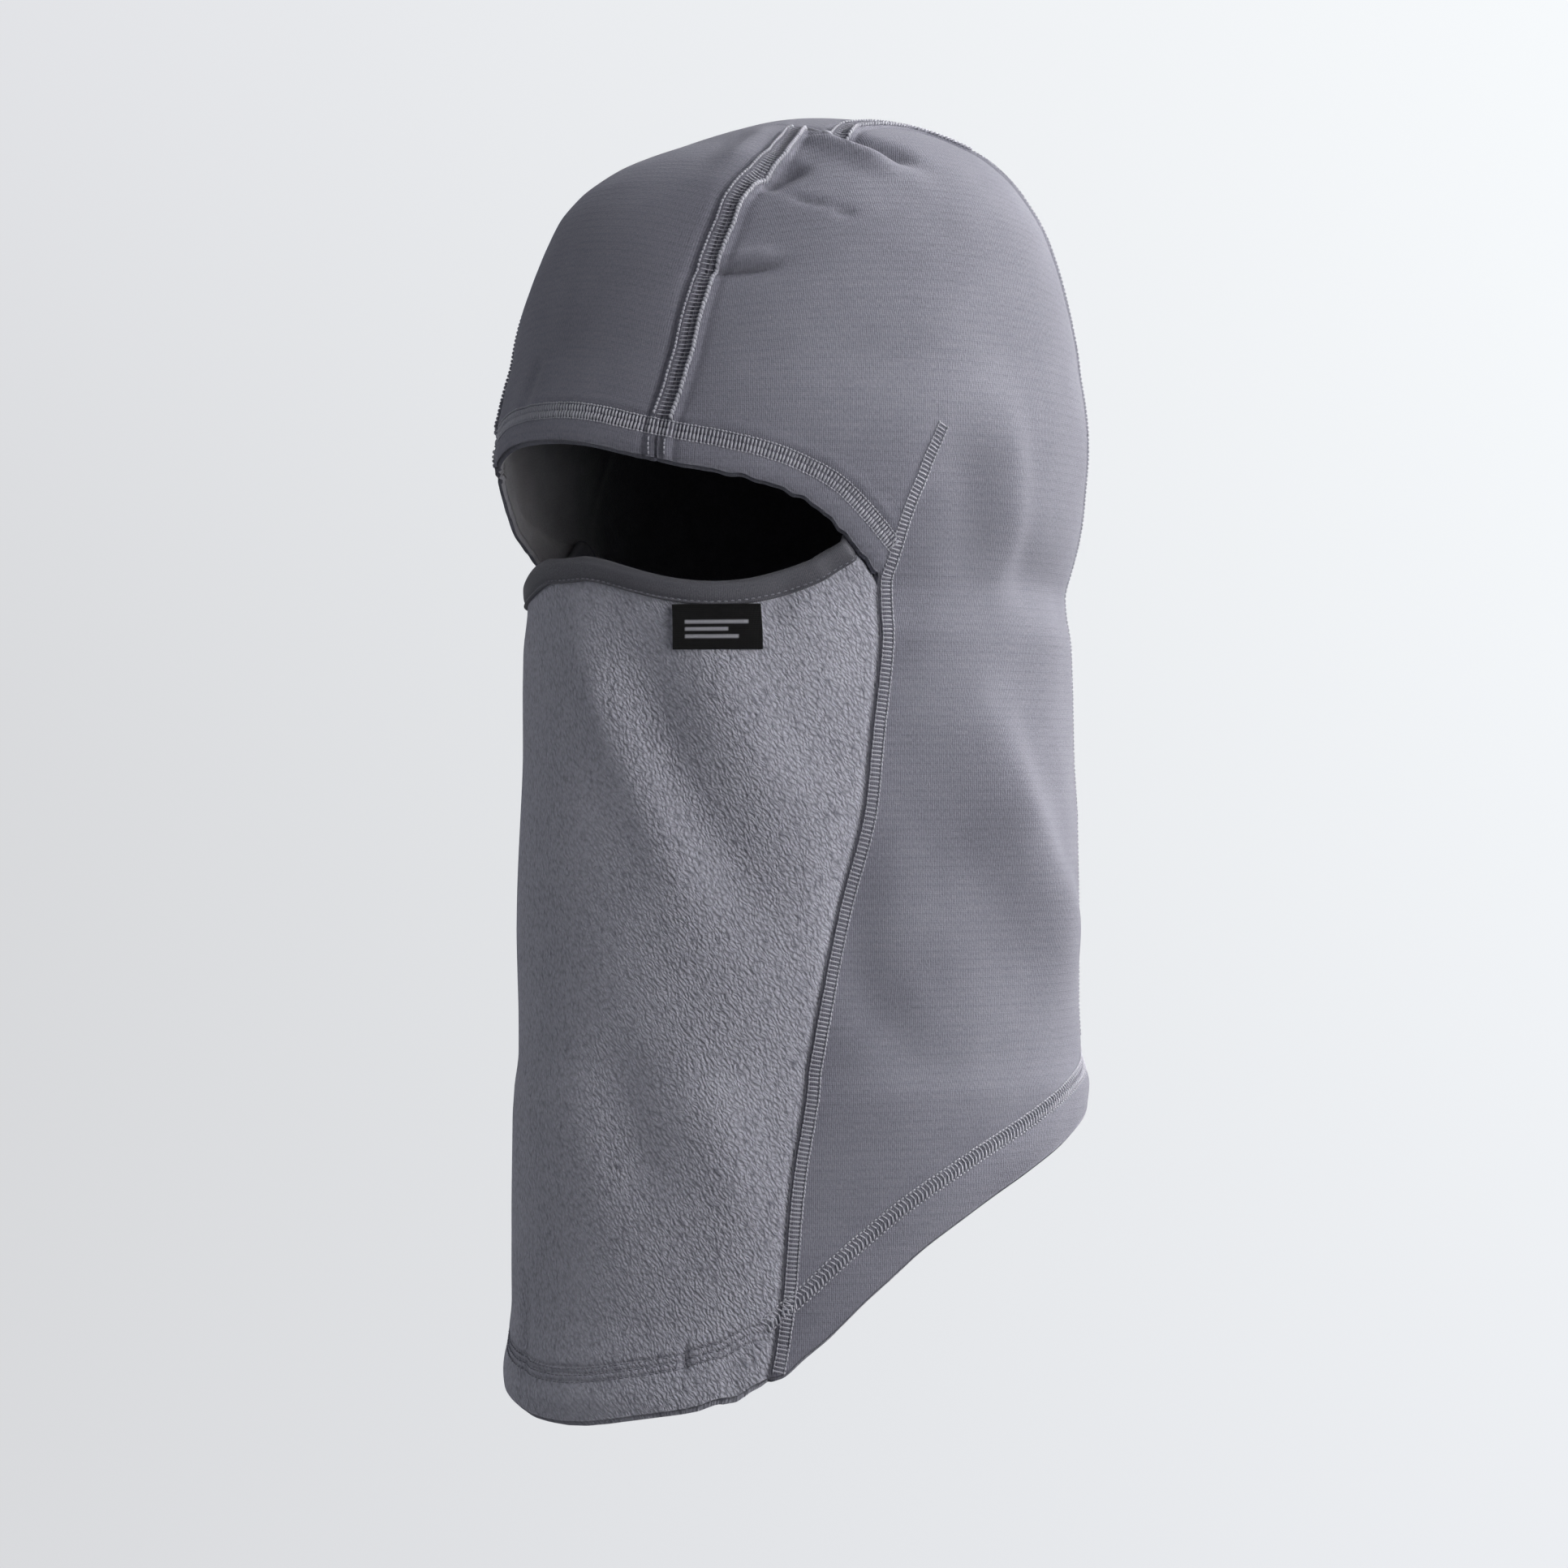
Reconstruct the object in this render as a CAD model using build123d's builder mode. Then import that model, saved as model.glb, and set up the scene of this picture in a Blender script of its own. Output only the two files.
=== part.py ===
# Stretch balaclava: a three-panel knit hood with a fleece face and neck panel.
#
# Frame, in millimetres: the origin is the centre of the widest level of the
# head, +Z points up to the crown, -Y is the front (the eye opening) and +X is
# the wearer's left. Every piece follows one outer form, the shape the cloth
# takes over a head and neck, and lies at its own depth inside or outside it.
import math
import os

from build123d import *

os.makedirs("parts", exist_ok=True)

# ---- sizes that drive the part -------------------------------------------
HEAD_HALF_WIDTH = 80.0       # across X at the widest level
HEAD_HALF_DEPTH = 100.0      # along Y at the widest level, front to back
CROWN_HEIGHT = 106.0         # from the widest level to the top
CROWN_FULLNESS = 2.35        # 2 is a plain ellipsoid, more is a flatter crown
SHELL_THICKNESS = 1.5        # grid knit of the hood
FLEECE_THICKNESS = 2.0       # pile fleece of the face and neck
HEM_LAYER = 3.0              # depth to the inside of a turned hem
BROW_HEM = 11.5              # height of the turned hem over the eyes
BACK_HEM = 17.0              # height of the turned hem round the neck
FACE_HEM_HEIGHT = 17.0       # height of the fleece panel's turned hem
GUSSET_HALF_WIDTH = 45.0     # centre strip over the crown
CROWN_SEAM_WIDTH = 6.4       # flat seam beside the centre strip
SIDE_SEAM_WIDTH = 4.4        # flat seam beside the fleece panel
COVER_WIDTH = 4.4            # cover stitch along a hem
BINDING_HEIGHT = 7.2         # smooth folded binding under the eyes
BINDING_PROUD = 1.0          # how far the binding stands off the fleece
THREAD = 0.5                 # how far sewing thread stands off the cloth
GAP = 0.15                   # between thread and cloth
BROW_GAP = 0.5               # the same over the eyes, where it crosses two layers
JOIN_GAP = 0.8               # between the hood and the fleece at their seam
LABEL_WIDTH, LABEL_HEIGHT, LABEL_THICKNESS = 27.0, 13.0, 0.6
LABEL_TURN = -50.5           # degrees round the head from +X
LABEL_TOP = -48.8            # height of the label's sewn edge
LABEL_OFF = 0.35             # label to fleece
CARE_WIDTH, CARE_HEIGHT, CARE_THICKNESS = 24.0, 26.0, 0.4
CARE_TOP = -160.0            # height of the care label's sewn edge
WIDE = 300.0                 # longer than anything across the part

# half depth of the form below the widest level, as (Z, half depth)
NECK = [(-12, 99.4), (-27, 96.6), (-42, 93.4), (-57, 93.0), (-72, 93.2),
        (-110, 94.3), (-150, 94.9), (-186, 95.3), (-240, 96.0), (-320, 96.8)]

# ---- lines of the side view, as (Y, Z) ------------------------------------
# lower edge of the hem over the eyes, from the front round to the corner
BROW = [(-108, 2.2), (-100, 1.3), (-93, -2.7), (-86, -5.7), (-76, -8.6),
        (-67, -11.0), (-58, -14.4), (-50, -18.4), (-44, -23.0),
        (-36, -30.4), (-27, -39.2)]
# upper edge of the binding under the eyes
RIM = [(-108, -29.5), (-97, -32.7), (-89, -37.8), (-82, -40.2), (-75, -40.9),
       (-65, -39.8), (-57, -37.3), (-49, -33.3), (-42, -29.0)]
# hood to fleece, from the corner of the eyes down to the hem
JOIN = [(-27, -39.2), (-28, -62), (-31, -85), (-34, -110), (-40.5, -136),
        (-46.3, -163), (-51.2, -191), (-55, -217), (-57.2, -249), (-58.8, -263),
        (-61.9, -276.6)]
# the same seam's dart, which runs on up into the hood
DART = [(-10.6, 7.5), (-16.3, -3.1), (-20.9, -13.6), (-24.2, -24.9)]
DART_LEAD = (-7.4, 13.5)     # the line the dart's top is cut from
SEAM_FOOT = -268.0           # where that seam's thread ends, above the hem
# lower edge of the hood, back to front, and of the fleece
HOOD_EDGE = [(116, -184), (92, -196), (70, -204.4), (46, -212), (22, -220.8),
             (1, -230.2), (-17, -240.6), (-35, -255.2), (-49, -268), (-61.9, -276.6)]
FACE_EDGE = [(-61.9, -276.6), (-70, -281.6), (-82, -286.4), (-91, -290.1),
             (-100, -294.5), (-112, -300)]


def beside(points, distance):
    """The same line shifted sideways, to its left as it is drawn."""
    out = []
    for i, (y, z) in enumerate(points):
        y0, z0 = points[max(i - 1, 0)]
        y1, z1 = points[min(i + 1, len(points) - 1)]
        run = math.hypot(y1 - y0, z1 - z0)
        out.append((y - (z1 - z0) / run * distance, z + (y1 - y0) / run * distance))
    return out


def along(line, z):
    """Y of a side-view line that runs down, at height z."""
    for (y0, z0), (y1, z1) in zip(line, line[1:]):
        if z >= z1 or (y1, z1) == line[-1]:
            return y0 + (y1 - y0) * (z - z0) / (z1 - z0)


def half_depth(z, inset):
    """Half the form's depth along Y at height z, at this depth in the cloth."""
    if z >= 0:
        height = CROWN_HEIGHT - inset
        share = max(0.0, 1 - (z / height) ** CROWN_FULLNESS)
        return (HEAD_HALF_DEPTH - inset) * share ** (1 / CROWN_FULLNESS)
    rows = [(0, HEAD_HALF_DEPTH)] + NECK
    for (z0, r0), (z1, r1) in zip(rows, rows[1:]):
        if z >= z1:
            return r0 + (r1 - r0) * (z - z0) / (z1 - z0) - inset
    return rows[-1][1] - inset


def half_width(z, inset):
    """Half the form's width across X at height z."""
    if z >= 0:
        share = (HEAD_HALF_WIDTH - inset) / (HEAD_HALF_DEPTH - inset)
        return half_depth(z, inset) * share
    share = HEAD_HALF_WIDTH / HEAD_HALF_DEPTH
    return (half_depth(z, inset) + inset) * share - inset


def bowl(first, last, levels, outer, inner):
    """A layer of the form that runs round it from one angle to another.

    Angles are in degrees from +X towards the back; one flat ring section lies
    at each level, and the layer is drawn smoothly through them. A side-view
    line in place of an angle ends the layer on that line, on the left side;
    "across" starts it on the same line on the right side.
    """
    steps = 14
    with BuildPart() as layer:
        for z in levels:
            rings = []
            for inset in (outer, inner):
                a, b = half_width(z, inset), half_depth(z, inset)
                start, end = first, last
                if isinstance(last, list):
                    end = math.degrees(math.asin(along(last, z) / b))
                if isinstance(first, list):
                    start = math.degrees(math.asin(along(first, z) / b))
                if first == "across":
                    start = -180 - end
                ring = []
                for i in range(steps + 1):
                    t = math.radians(start + (end - start) * i / steps)
                    ring.append((a * math.cos(t), b * math.sin(t)))
                rings.append(ring)
            with BuildSketch(Plane.XY.offset(z)):
                with BuildLine():
                    Spline(*rings[0])
                    Line(rings[0][-1], rings[1][-1])
                    Spline(*rings[1][::-1])
                    Line(rings[1][0], rings[0][0])
                make_face()
        loft()
    return layer.part


def strip(stations, outer, inner, front=-45.0, back=-222.0):
    """A layer that runs over the crown, from the brow to the back's hem."""
    with BuildPart() as layer:
        for x in stations:
            lines = []
            for inset in (outer, inner):
                wide = HEAD_HALF_WIDTH - inset
                share = 1 - (abs(x) / wide) ** CROWN_FULLNESS
                top = (CROWN_HEIGHT - inset) * share ** (1 / CROWN_FULLNESS)
                heights = [front] + [z for z, r in NECK if z > front + 6][::-1]
                rise = [top * math.cos(math.radians(t)) ** (2 / CROWN_FULLNESS)
                        for t in (90, 76, 62, 48, 34, 18)]
                line = []
                for z in heights + rise:
                    reach = math.sqrt(1 - (x / half_width(z, inset)) ** 2)
                    line.append((-half_depth(z, inset) * reach, z))
                line.append((0.0, top))
                down = rise[::-1] + [z for z, r in NECK if z > back + 6] + [back]
                for z in down:
                    reach = math.sqrt(1 - (x / half_width(z, inset)) ** 2)
                    line.append((half_depth(z, inset) * reach, z))
                lines.append(line)
            with BuildSketch(Plane.YZ.offset(x)):
                with BuildLine():
                    Spline(*lines[0])
                    Line(lines[0][-1], lines[1][-1])
                    Spline(*lines[1][::-1])
                    Line(lines[1][0], lines[0][0])
                make_face()
        loft()
    return layer.part


def region(*chains):
    """A solid through the whole width with this outline in the side view."""
    with BuildPart() as block:
        with BuildSketch(Plane.YZ):
            with BuildLine():
                for chain in chains:
                    if len(chain) > 2:
                        Spline(*chain)
                    else:
                        Line(*chain)
                for chain, following in zip(chains, chains[1:] + chains[:1]):
                    if math.dist(chain[-1], following[0]) > 1e-6:
                        Line(chain[-1], following[0])
            make_face()
        extrude(amount=WIDE / 2, both=True)
    return block.part


def band(points, near, far):
    """The region between two parallels of a side-view line."""
    return region(beside(points, near), beside(points, far)[::-1])


def slab(x0, x1):
    with BuildPart() as block:
        with Locations(((x0 + x1) / 2, 0, -100)):
            Box(x1 - x0, WIDE, 2 * WIDE)
    return block.part


# ---- areas of the side view -----------------------------------------------
hood_area = region(BROW, JOIN, HOOD_EDGE[::-1],
                   [(116, -184), (150, -184)], [(150, -184), (150, 140)],
                   [(150, 140), (-150, 140)], [(-150, 140), (-150, 2.2)])
face_top = [(y, z - 0.8) for y, z in RIM]
over_rim = region(face_top, [face_top[-1], (-10, -12)], [(-10, -12), (-10, 60)],
                  [(-10, 60), (-150, 60)], [(-150, 60), (-150, face_top[0][1])])
under_face = region(FACE_EDGE, [(-112, -300), (-150, -300)], [(-150, -300), (-150, -400)],
                    [(-150, -400), (-20, -400)], [(-20, -400), (-20, -240)])

HEAD_LEVELS = [94, 86, 74, 58, 40, 20, 0] + [z for z, r in NECK]
STATIONS = (-46, -30, -15, 0, 15, 30, 46)


def hood_cloth(patch, lining, x0, x1):
    """One panel: its patch of skin with the hems' turned layer inside it."""
    with BuildPart() as panel:
        add(patch)
        add(slab(x0, x1), mode=Mode.INTERSECT)
        add(hood_area, mode=Mode.INTERSECT)
    with BuildPart() as turned:
        add(lining)
        add(slab(x0, x1), mode=Mode.INTERSECT)
        add(hood_area, mode=Mode.INTERSECT)
    for hem in (band(BROW, 0.0, BROW_HEM), band(HOOD_EDGE, 0.0, -BACK_HEM)):
        with BuildPart() as fold:
            add(turned.part)
            add(hem, mode=Mode.INTERSECT)
        with BuildPart() as joined:
            add(panel.part)
            add(fold.part)
        panel = joined
    return panel.part


# ---- cloth of the hood: three panels, their hems turned in -----------------
with BuildPart() as crown_gusset:
    add(hood_cloth(strip(STATIONS, 0.0, SHELL_THICKNESS),
                   strip(STATIONS, SHELL_THICKNESS - 0.1, HEM_LAYER),
                   -GUSSET_HALF_WIDTH, GUSSET_HALF_WIDTH))
crown_gusset.part.label = "crown_gusset"
export_step(crown_gusset.part, "parts/crown_gusset.step")

with BuildPart() as left_side_panel:
    add(hood_cloth(bowl(-90, 90, HEAD_LEVELS, 0.0, SHELL_THICKNESS),
                   bowl(-90, 90, HEAD_LEVELS, SHELL_THICKNESS, HEM_LAYER),
                   GUSSET_HALF_WIDTH, WIDE / 2))
left_side_panel.part.label = "left_side_panel"
export_step(left_side_panel.part, "parts/left_side_panel.step")

with BuildPart() as right_side_panel:
    add(mirror(left_side_panel.part, about=Plane.YZ))
right_side_panel.part.label = "right_side_panel"
export_step(right_side_panel.part, "parts/right_side_panel.step")

# ---- cloth of the face and neck, its hem turned in -------------------------
FACE_JOIN = [(y - JOIN_GAP, z) for y, z in
             [(-44, -24), (-37, -33), (-30, -42), (-29, -52)] + JOIN[1:]
             + [(-66, -310)]]
FACE_LEVELS = [-24, -33, -42, -57, -72, -85, -98, -110, -123, -136, -150, -163, -191,
               -217, -249, -263, -280, -318]
with BuildPart() as face_panel:
    add(bowl("across", FACE_JOIN, FACE_LEVELS, 0.0, FLEECE_THICKNESS))
    add(over_rim, mode=Mode.SUBTRACT)
    add(under_face, mode=Mode.SUBTRACT)
with BuildPart() as face_fold:
    add(bowl("across", FACE_JOIN, FACE_LEVELS, FLEECE_THICKNESS, 2 * FLEECE_THICKNESS))
    add(over_rim, mode=Mode.SUBTRACT)
    add(under_face, mode=Mode.SUBTRACT)
    add(band(FACE_EDGE, 0.5, -FACE_HEM_HEIGHT), mode=Mode.INTERSECT)
with BuildPart() as face:
    add(face_panel.part)
    add(face_fold.part)
face.part.label = "face_panel"
export_step(face.part, "parts/face_panel.step")

# ---- binding: a strip folded over the fleece's top edge --------------------
BIND_LEVELS = [-16, -27, -42, -57, -62]
with BuildPart() as eye_binding:
    add(bowl(-168, -12, BIND_LEVELS, -BINDING_PROUD, HEM_LAYER))
    add(band(RIM, 0.0, -BINDING_HEIGHT), mode=Mode.INTERSECT)
    add(band(BROW, -0.3, 40), mode=Mode.SUBTRACT)
    add(bowl("across", FACE_JOIN, FACE_LEVELS, -0.02, FLEECE_THICKNESS + 0.02) - over_rim,
        mode=Mode.SUBTRACT)
eye_binding.part.label = "eye_binding"
export_step(eye_binding.part, "parts/eye_binding.step")

# ---- sewing thread ---------------------------------------------------------
SEWN = (-THREAD - GAP, -GAP)
brow_cover = band(BROW, BROW_HEM - COVER_WIDTH, BROW_HEM)
hood_cover = band(HOOD_EDGE, -BACK_HEM, -BACK_HEM + COVER_WIDTH)

SIDE_STATIONS = (40, 45, 50)
with BuildPart() as left_crown_seam_thread:
    add(strip(SIDE_STATIONS, *SEWN))
    add(slab(GUSSET_HALF_WIDTH - CROWN_SEAM_WIDTH / 2, GUSSET_HALF_WIDTH + CROWN_SEAM_WIDTH / 2),
        mode=Mode.INTERSECT)
    add(hood_area, mode=Mode.INTERSECT)
    add(band(BROW, BROW_HEM - COVER_WIDTH - 0.3, BROW_HEM + 0.3), mode=Mode.SUBTRACT)
    add(band(HOOD_EDGE, -BACK_HEM - 0.3, -BACK_HEM + COVER_WIDTH + 0.3), mode=Mode.SUBTRACT)
left_crown_seam_thread.part.label = "left_crown_seam_thread"
export_step(left_crown_seam_thread.part, "parts/left_crown_seam_thread.step")

with BuildPart() as right_crown_seam_thread:
    add(mirror(left_crown_seam_thread.part, about=Plane.YZ))
right_crown_seam_thread.part.label = "right_crown_seam_thread"
export_step(right_crown_seam_thread.part, "parts/right_crown_seam_thread.step")

near = [DART_LEAD] + DART + [(y + 0.4, z) for y, z in JOIN] + [(-64, -300)]
far = [(y + SIDE_SEAM_WIDTH, z) for y, z in near]
with BuildPart() as left_side_seam_thread:
    add(bowl(-90, 90, HEAD_LEVELS, *SEWN))
    add(region(near, far[::-1]), mode=Mode.INTERSECT)
    with Locations((0, 0, (DART[0][1] + SEAM_FOOT) / 2)):
        Box(WIDE, WIDE, DART[0][1] - SEAM_FOOT, mode=Mode.INTERSECT)
left_side_seam_thread.part.label = "left_side_seam_thread"
export_step(left_side_seam_thread.part, "parts/left_side_seam_thread.step")

with BuildPart() as right_side_seam_thread:
    add(mirror(left_side_seam_thread.part, about=Plane.YZ))
right_side_seam_thread.part.label = "right_side_seam_thread"
export_step(right_side_seam_thread.part, "parts/right_side_seam_thread.step")

with BuildPart() as brow_hem_thread:
    add(bowl(-159, -21, [40, 20, 0, -12, -27, -42, -57], -THREAD - BROW_GAP, -BROW_GAP))
    add(brow_cover, mode=Mode.INTERSECT)
brow_hem_thread.part.label = "brow_hem_thread"
export_step(brow_hem_thread.part, "parts/brow_hem_thread.step")

with BuildPart() as hood_hem_thread:
    add(bowl(-32, 212, HEAD_LEVELS[-6:], *SEWN))
    add(hood_cover, mode=Mode.INTERSECT)
hood_hem_thread.part.label = "hood_hem_thread"
export_step(hood_hem_thread.part, "parts/hood_hem_thread.step")

with BuildPart() as face_hem_thread:
    add(bowl("across", [(y - 0.6, z) for y, z in FACE_JOIN], FACE_LEVELS[-7:], *SEWN))
    add(band(FACE_EDGE, -FACE_HEM_HEIGHT, -FACE_HEM_HEIGHT + 5.6), mode=Mode.INTERSECT)
face_hem_thread.part.label = "face_hem_thread"
export_step(face_hem_thread.part, "parts/face_hem_thread.step")

with BuildPart() as binding_thread:
    add(bowl(-155, -25, BIND_LEVELS, -BINDING_PROUD - THREAD - GAP, -BINDING_PROUD - GAP))
    add(band(RIM, -BINDING_HEIGHT + 0.8, -BINDING_HEIGHT + 2.0), mode=Mode.INTERSECT)
    add(band(BROW, -0.8, 40), mode=Mode.SUBTRACT)
binding_thread.part.label = "binding_thread"
export_step(binding_thread.part, "parts/binding_thread.step")

# ---- labels: flat flaps held along their top edge ---------------------------
turn = math.radians(LABEL_TURN)
a, b = half_width(-55, 0.0), half_depth(-55, 0.0)
foot_x, foot_y = a * math.cos(turn), b * math.sin(turn)
out_x, out_y = foot_x / a ** 2, foot_y / b ** 2
out = math.hypot(out_x, out_y)
off = LABEL_OFF + LABEL_THICKNESS / 2
with BuildPart() as cheek_label:
    with Locations(Location((foot_x + out_x / out * off, foot_y + out_y / out * off,
                             LABEL_TOP - LABEL_HEIGHT / 2),
                            (0, 0, math.degrees(math.atan2(out_y, out_x))))):
        Box(LABEL_THICKNESS, LABEL_WIDTH, LABEL_HEIGHT)
cheek_label.part.label = "cheek_label"
export_step(cheek_label.part, "parts/cheek_label.step")

with BuildPart() as care_label:
    with Locations((0, half_depth(CARE_TOP, HEM_LAYER) - 1.8 - CARE_THICKNESS / 2,
                    CARE_TOP - CARE_HEIGHT / 2)):
        Box(CARE_WIDTH, CARE_THICKNESS, CARE_HEIGHT)
care_label.part.label = "care_label"
export_step(care_label.part, "parts/care_label.step")
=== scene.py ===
"""Looks of the stretch balaclava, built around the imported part.

Everything is worked out in millimetres in the part's own frame (origin at the
centre of the widest level of the head, +Z up, -Y the front, +X the wearer's
left) and turned into metres when a mesh is made.
"""

import math

import bpy
import numpy as np
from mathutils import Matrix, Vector


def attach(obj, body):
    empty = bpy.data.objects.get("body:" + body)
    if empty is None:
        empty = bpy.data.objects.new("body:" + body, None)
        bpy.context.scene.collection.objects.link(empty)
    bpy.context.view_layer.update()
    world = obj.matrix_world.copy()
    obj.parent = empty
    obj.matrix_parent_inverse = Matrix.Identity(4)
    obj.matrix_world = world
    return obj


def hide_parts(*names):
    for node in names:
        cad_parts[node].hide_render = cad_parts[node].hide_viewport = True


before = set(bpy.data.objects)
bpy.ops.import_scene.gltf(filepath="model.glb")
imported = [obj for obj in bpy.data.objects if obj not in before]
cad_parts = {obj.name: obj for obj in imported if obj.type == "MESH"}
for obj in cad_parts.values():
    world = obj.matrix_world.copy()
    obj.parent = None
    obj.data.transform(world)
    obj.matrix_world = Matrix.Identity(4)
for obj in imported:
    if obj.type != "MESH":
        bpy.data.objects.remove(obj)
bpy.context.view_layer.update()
chance = np.random.default_rng(7)

# ---- the form the cloth takes ----------------------------------------------
CROWN_TOP = 107.0
HALF_GUSSET = 45.0
DEGREE = CROWN_TOP * math.pi / 180
# angle above the widest level, half depth over its cosine, shift to the back
CROWN_ROWS = [(6, 99.7, 0.8), (14.4, 98.9, 1.6), (23, 101.0, 1.8), (27.5, 102.3, 2.3),
              (32.2, 104.3, 2.8), (37.1, 107, 3.2), (42.4, 110.6, 3.6), (48.2, 113.4, 5.0),
              (54.7, 115.8, 8.5), (62.6, 116.3, 14.5), (73.4, 115.7, 17), (90, 115.5, 16)]
# height, half depth, width over depth, shift to the back
NECK_ROWS = [(-11.4, 99.3, .80, -.8), (-19, 97.8, .805, -.2), (-26.6, 95.6, .81, .5),
             (-34, 92.7, .82, 1.2), (-41.8, 90.0, .83, 1.6), (-49, 89.8, .84, 1.9),
             (-57, 90.5, .85, 2.2), (-72, 91.1, .85, 2.4), (-95, 91.6, .85, 2.6),
             (-110, 92.4, .85, 2.9), (-125, 92.6, .85, 2.7), (-148, 93.0, .85, 2.6),
             (-171, 93.1, .85, 2.7), (-186, 93.7, .85, 3.1), (-194, 95.4, .85, 3.6),
             (-203, 95.4, .85, 3.0), (-240, 94.2, .85, 2.0), (-262, 94.4, .85, 2.0),
             (-277, 96.6, .85, 2.0), (-285, 97.2, .85, 2.0), (-293, 95.8, .85, 2.0),
             (-301, 92.5, .85, 1.5), (-330, 90, .85, 1.0)]
rows = NECK_ROWS[::-1] + [(0, 99.9, .8, 0)] + [(u * DEGREE, b, .8, y) for u, b, y in CROWN_ROWS]
LEVEL = np.arange(-330, 90 * DEGREE, 0.5)
SOFTEN = np.exp(-np.linspace(-2.5, 2.5, 21) ** 2)
SOFTEN /= SOFTEN.sum()


def softened(values):
    raw = np.interp(LEVEL, [row[0] for row in rows], values)
    return np.convolve(np.pad(raw, 10, "edge"), SOFTEN, "valid")


DEPTHS = softened([row[1] for row in rows])
RATIOS = softened([row[2] for row in rows])
SHIFTS = softened([row[3] for row in rows])


def form(z):
    """Half width and depth over the cosine, centre in Y, and squared cosine."""
    rise = np.clip(z / CROWN_TOP, 0, 1)
    level = np.where(z < 0, z, np.degrees(np.arcsin(rise)) * DEGREE)
    b = np.interp(level, LEVEL, DEPTHS)
    return (b * np.interp(level, LEVEL, RATIOS), b, np.interp(level, LEVEL, SHIFTS),
            1 - rise ** 2)


def outside(p):
    """Below 0 inside the form, above 0 outside it."""
    a, b, centre, cos2 = form(p[..., 2])
    return (p[..., 0] / a) ** 2 + ((p[..., 1] - centre) / b) ** 2 - cos2


def slope(p, step=0.4):
    return np.stack([(outside(p + step * e) - outside(p - step * e)) / (2 * step)
                     for e in np.eye(3)], axis=-1)


def unit(v):
    return v / np.maximum(np.linalg.norm(v, axis=-1, keepdims=True), 1e-12)


def normal(p):
    return unit(slope(p))


def on_form(p, times=2):
    """The nearby points that lie on the form."""
    for _ in range(times):
        g = slope(p)
        p = p - g * (outside(p) / (g * g).sum(-1))[..., None]
    return p


def side_points(y, z, side):
    a, b, centre, cos2 = form(z)
    x = a * np.sqrt(np.maximum(cos2 - ((y - centre) / b) ** 2, 0))
    return np.stack([side * x, y + 0 * z, z + 0 * y], axis=-1)


def turn_points(turn, z):
    """Points at angles round the head, in degrees from +X to the back."""
    a, b, centre, cos2 = form(np.asarray(z, float))
    t = np.radians(turn)
    c = np.sqrt(cos2)
    return np.stack([a * c * np.cos(t), centre + b * c * np.sin(t), z + 0 * t], axis=-1)


# ---- lines ------------------------------------------------------------------
def lengths(p):
    return np.concatenate([[0], np.cumsum(np.linalg.norm(np.diff(p, axis=0), axis=1))])


def spline(points, step=1.0):
    """A smooth line through the points, with even steps along it."""
    p = np.array(points, float)
    s = lengths(p)
    h, n = np.diff(s), len(p)
    if n > 2:
        m = np.zeros((n, n))
        rhs = np.zeros((n, p.shape[1]))
        m[0, 0] = m[-1, -1] = 1
        for i in range(1, n - 1):
            m[i, i - 1:i + 2] = h[i - 1], 2 * (h[i - 1] + h[i]), h[i]
            rhs[i] = 6 * ((p[i + 1] - p[i]) / h[i] - (p[i] - p[i - 1]) / h[i - 1])
        bend = np.linalg.solve(m, rhs)
        q = np.linspace(0, s[-1], 40 * n)
        i = np.clip(np.searchsorted(s, q) - 1, 0, n - 2)
        u, w, k = (s[i + 1] - q)[:, None], (q - s[i])[:, None], h[i][:, None]
        p = (bend[i] * u ** 3 + bend[i + 1] * w ** 3) / (6 * k) \
            + (p[i] / k - bend[i] * k / 6) * u + (p[i + 1] / k - bend[i + 1] * k / 6) * w
    return evenly(p, step=step)


def evenly(p, n=None, step=1.0):
    s = lengths(p)
    n = n or max(2, int(round(s[-1] / step)) + 1)
    q = np.linspace(0, s[-1], n)
    return np.stack([np.interp(q, s, p[:, k]) for k in range(p.shape[1])], axis=1)


def line_distance(p, line, reach):
    """Distance to a line in space, how far along it, and on which side of it."""
    away, at, side = np.full(len(p), 9.0 * reach), np.zeros(len(p)), np.ones(len(p))
    low, high = line.min(0) - reach, line.max(0) + reach
    near = np.flatnonzero(((p > low) & (p < high)).all(1))
    if not len(near):
        return away, at, side
    seg, s = np.diff(line, axis=0), lengths(line)
    for block in np.array_split(near, 1 + len(near) * len(seg) // 1500000):
        d = p[block][:, None] - line[:-1]
        t = np.clip((d * seg).sum(2) / (seg ** 2).sum(1), 0, 1)
        d -= t[..., None] * seg
        far = np.linalg.norm(d, axis=2)
        k, i = far.argmin(1), np.arange(len(block))
        away[block] = far[i, k]
        at[block] = s[k] + t[i, k] * (s[k + 1] - s[k])
        side[block] = np.sign((np.cross(seg[k], d[i, k]) * p[block] * (1, 1, .5)).sum(1))
    return away, at, side


def smooth(x, low=0.0, high=1.0):
    t = np.clip((x - low) / (high - low), 0, 1)
    return t * t * (3 - 2 * t)


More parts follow.
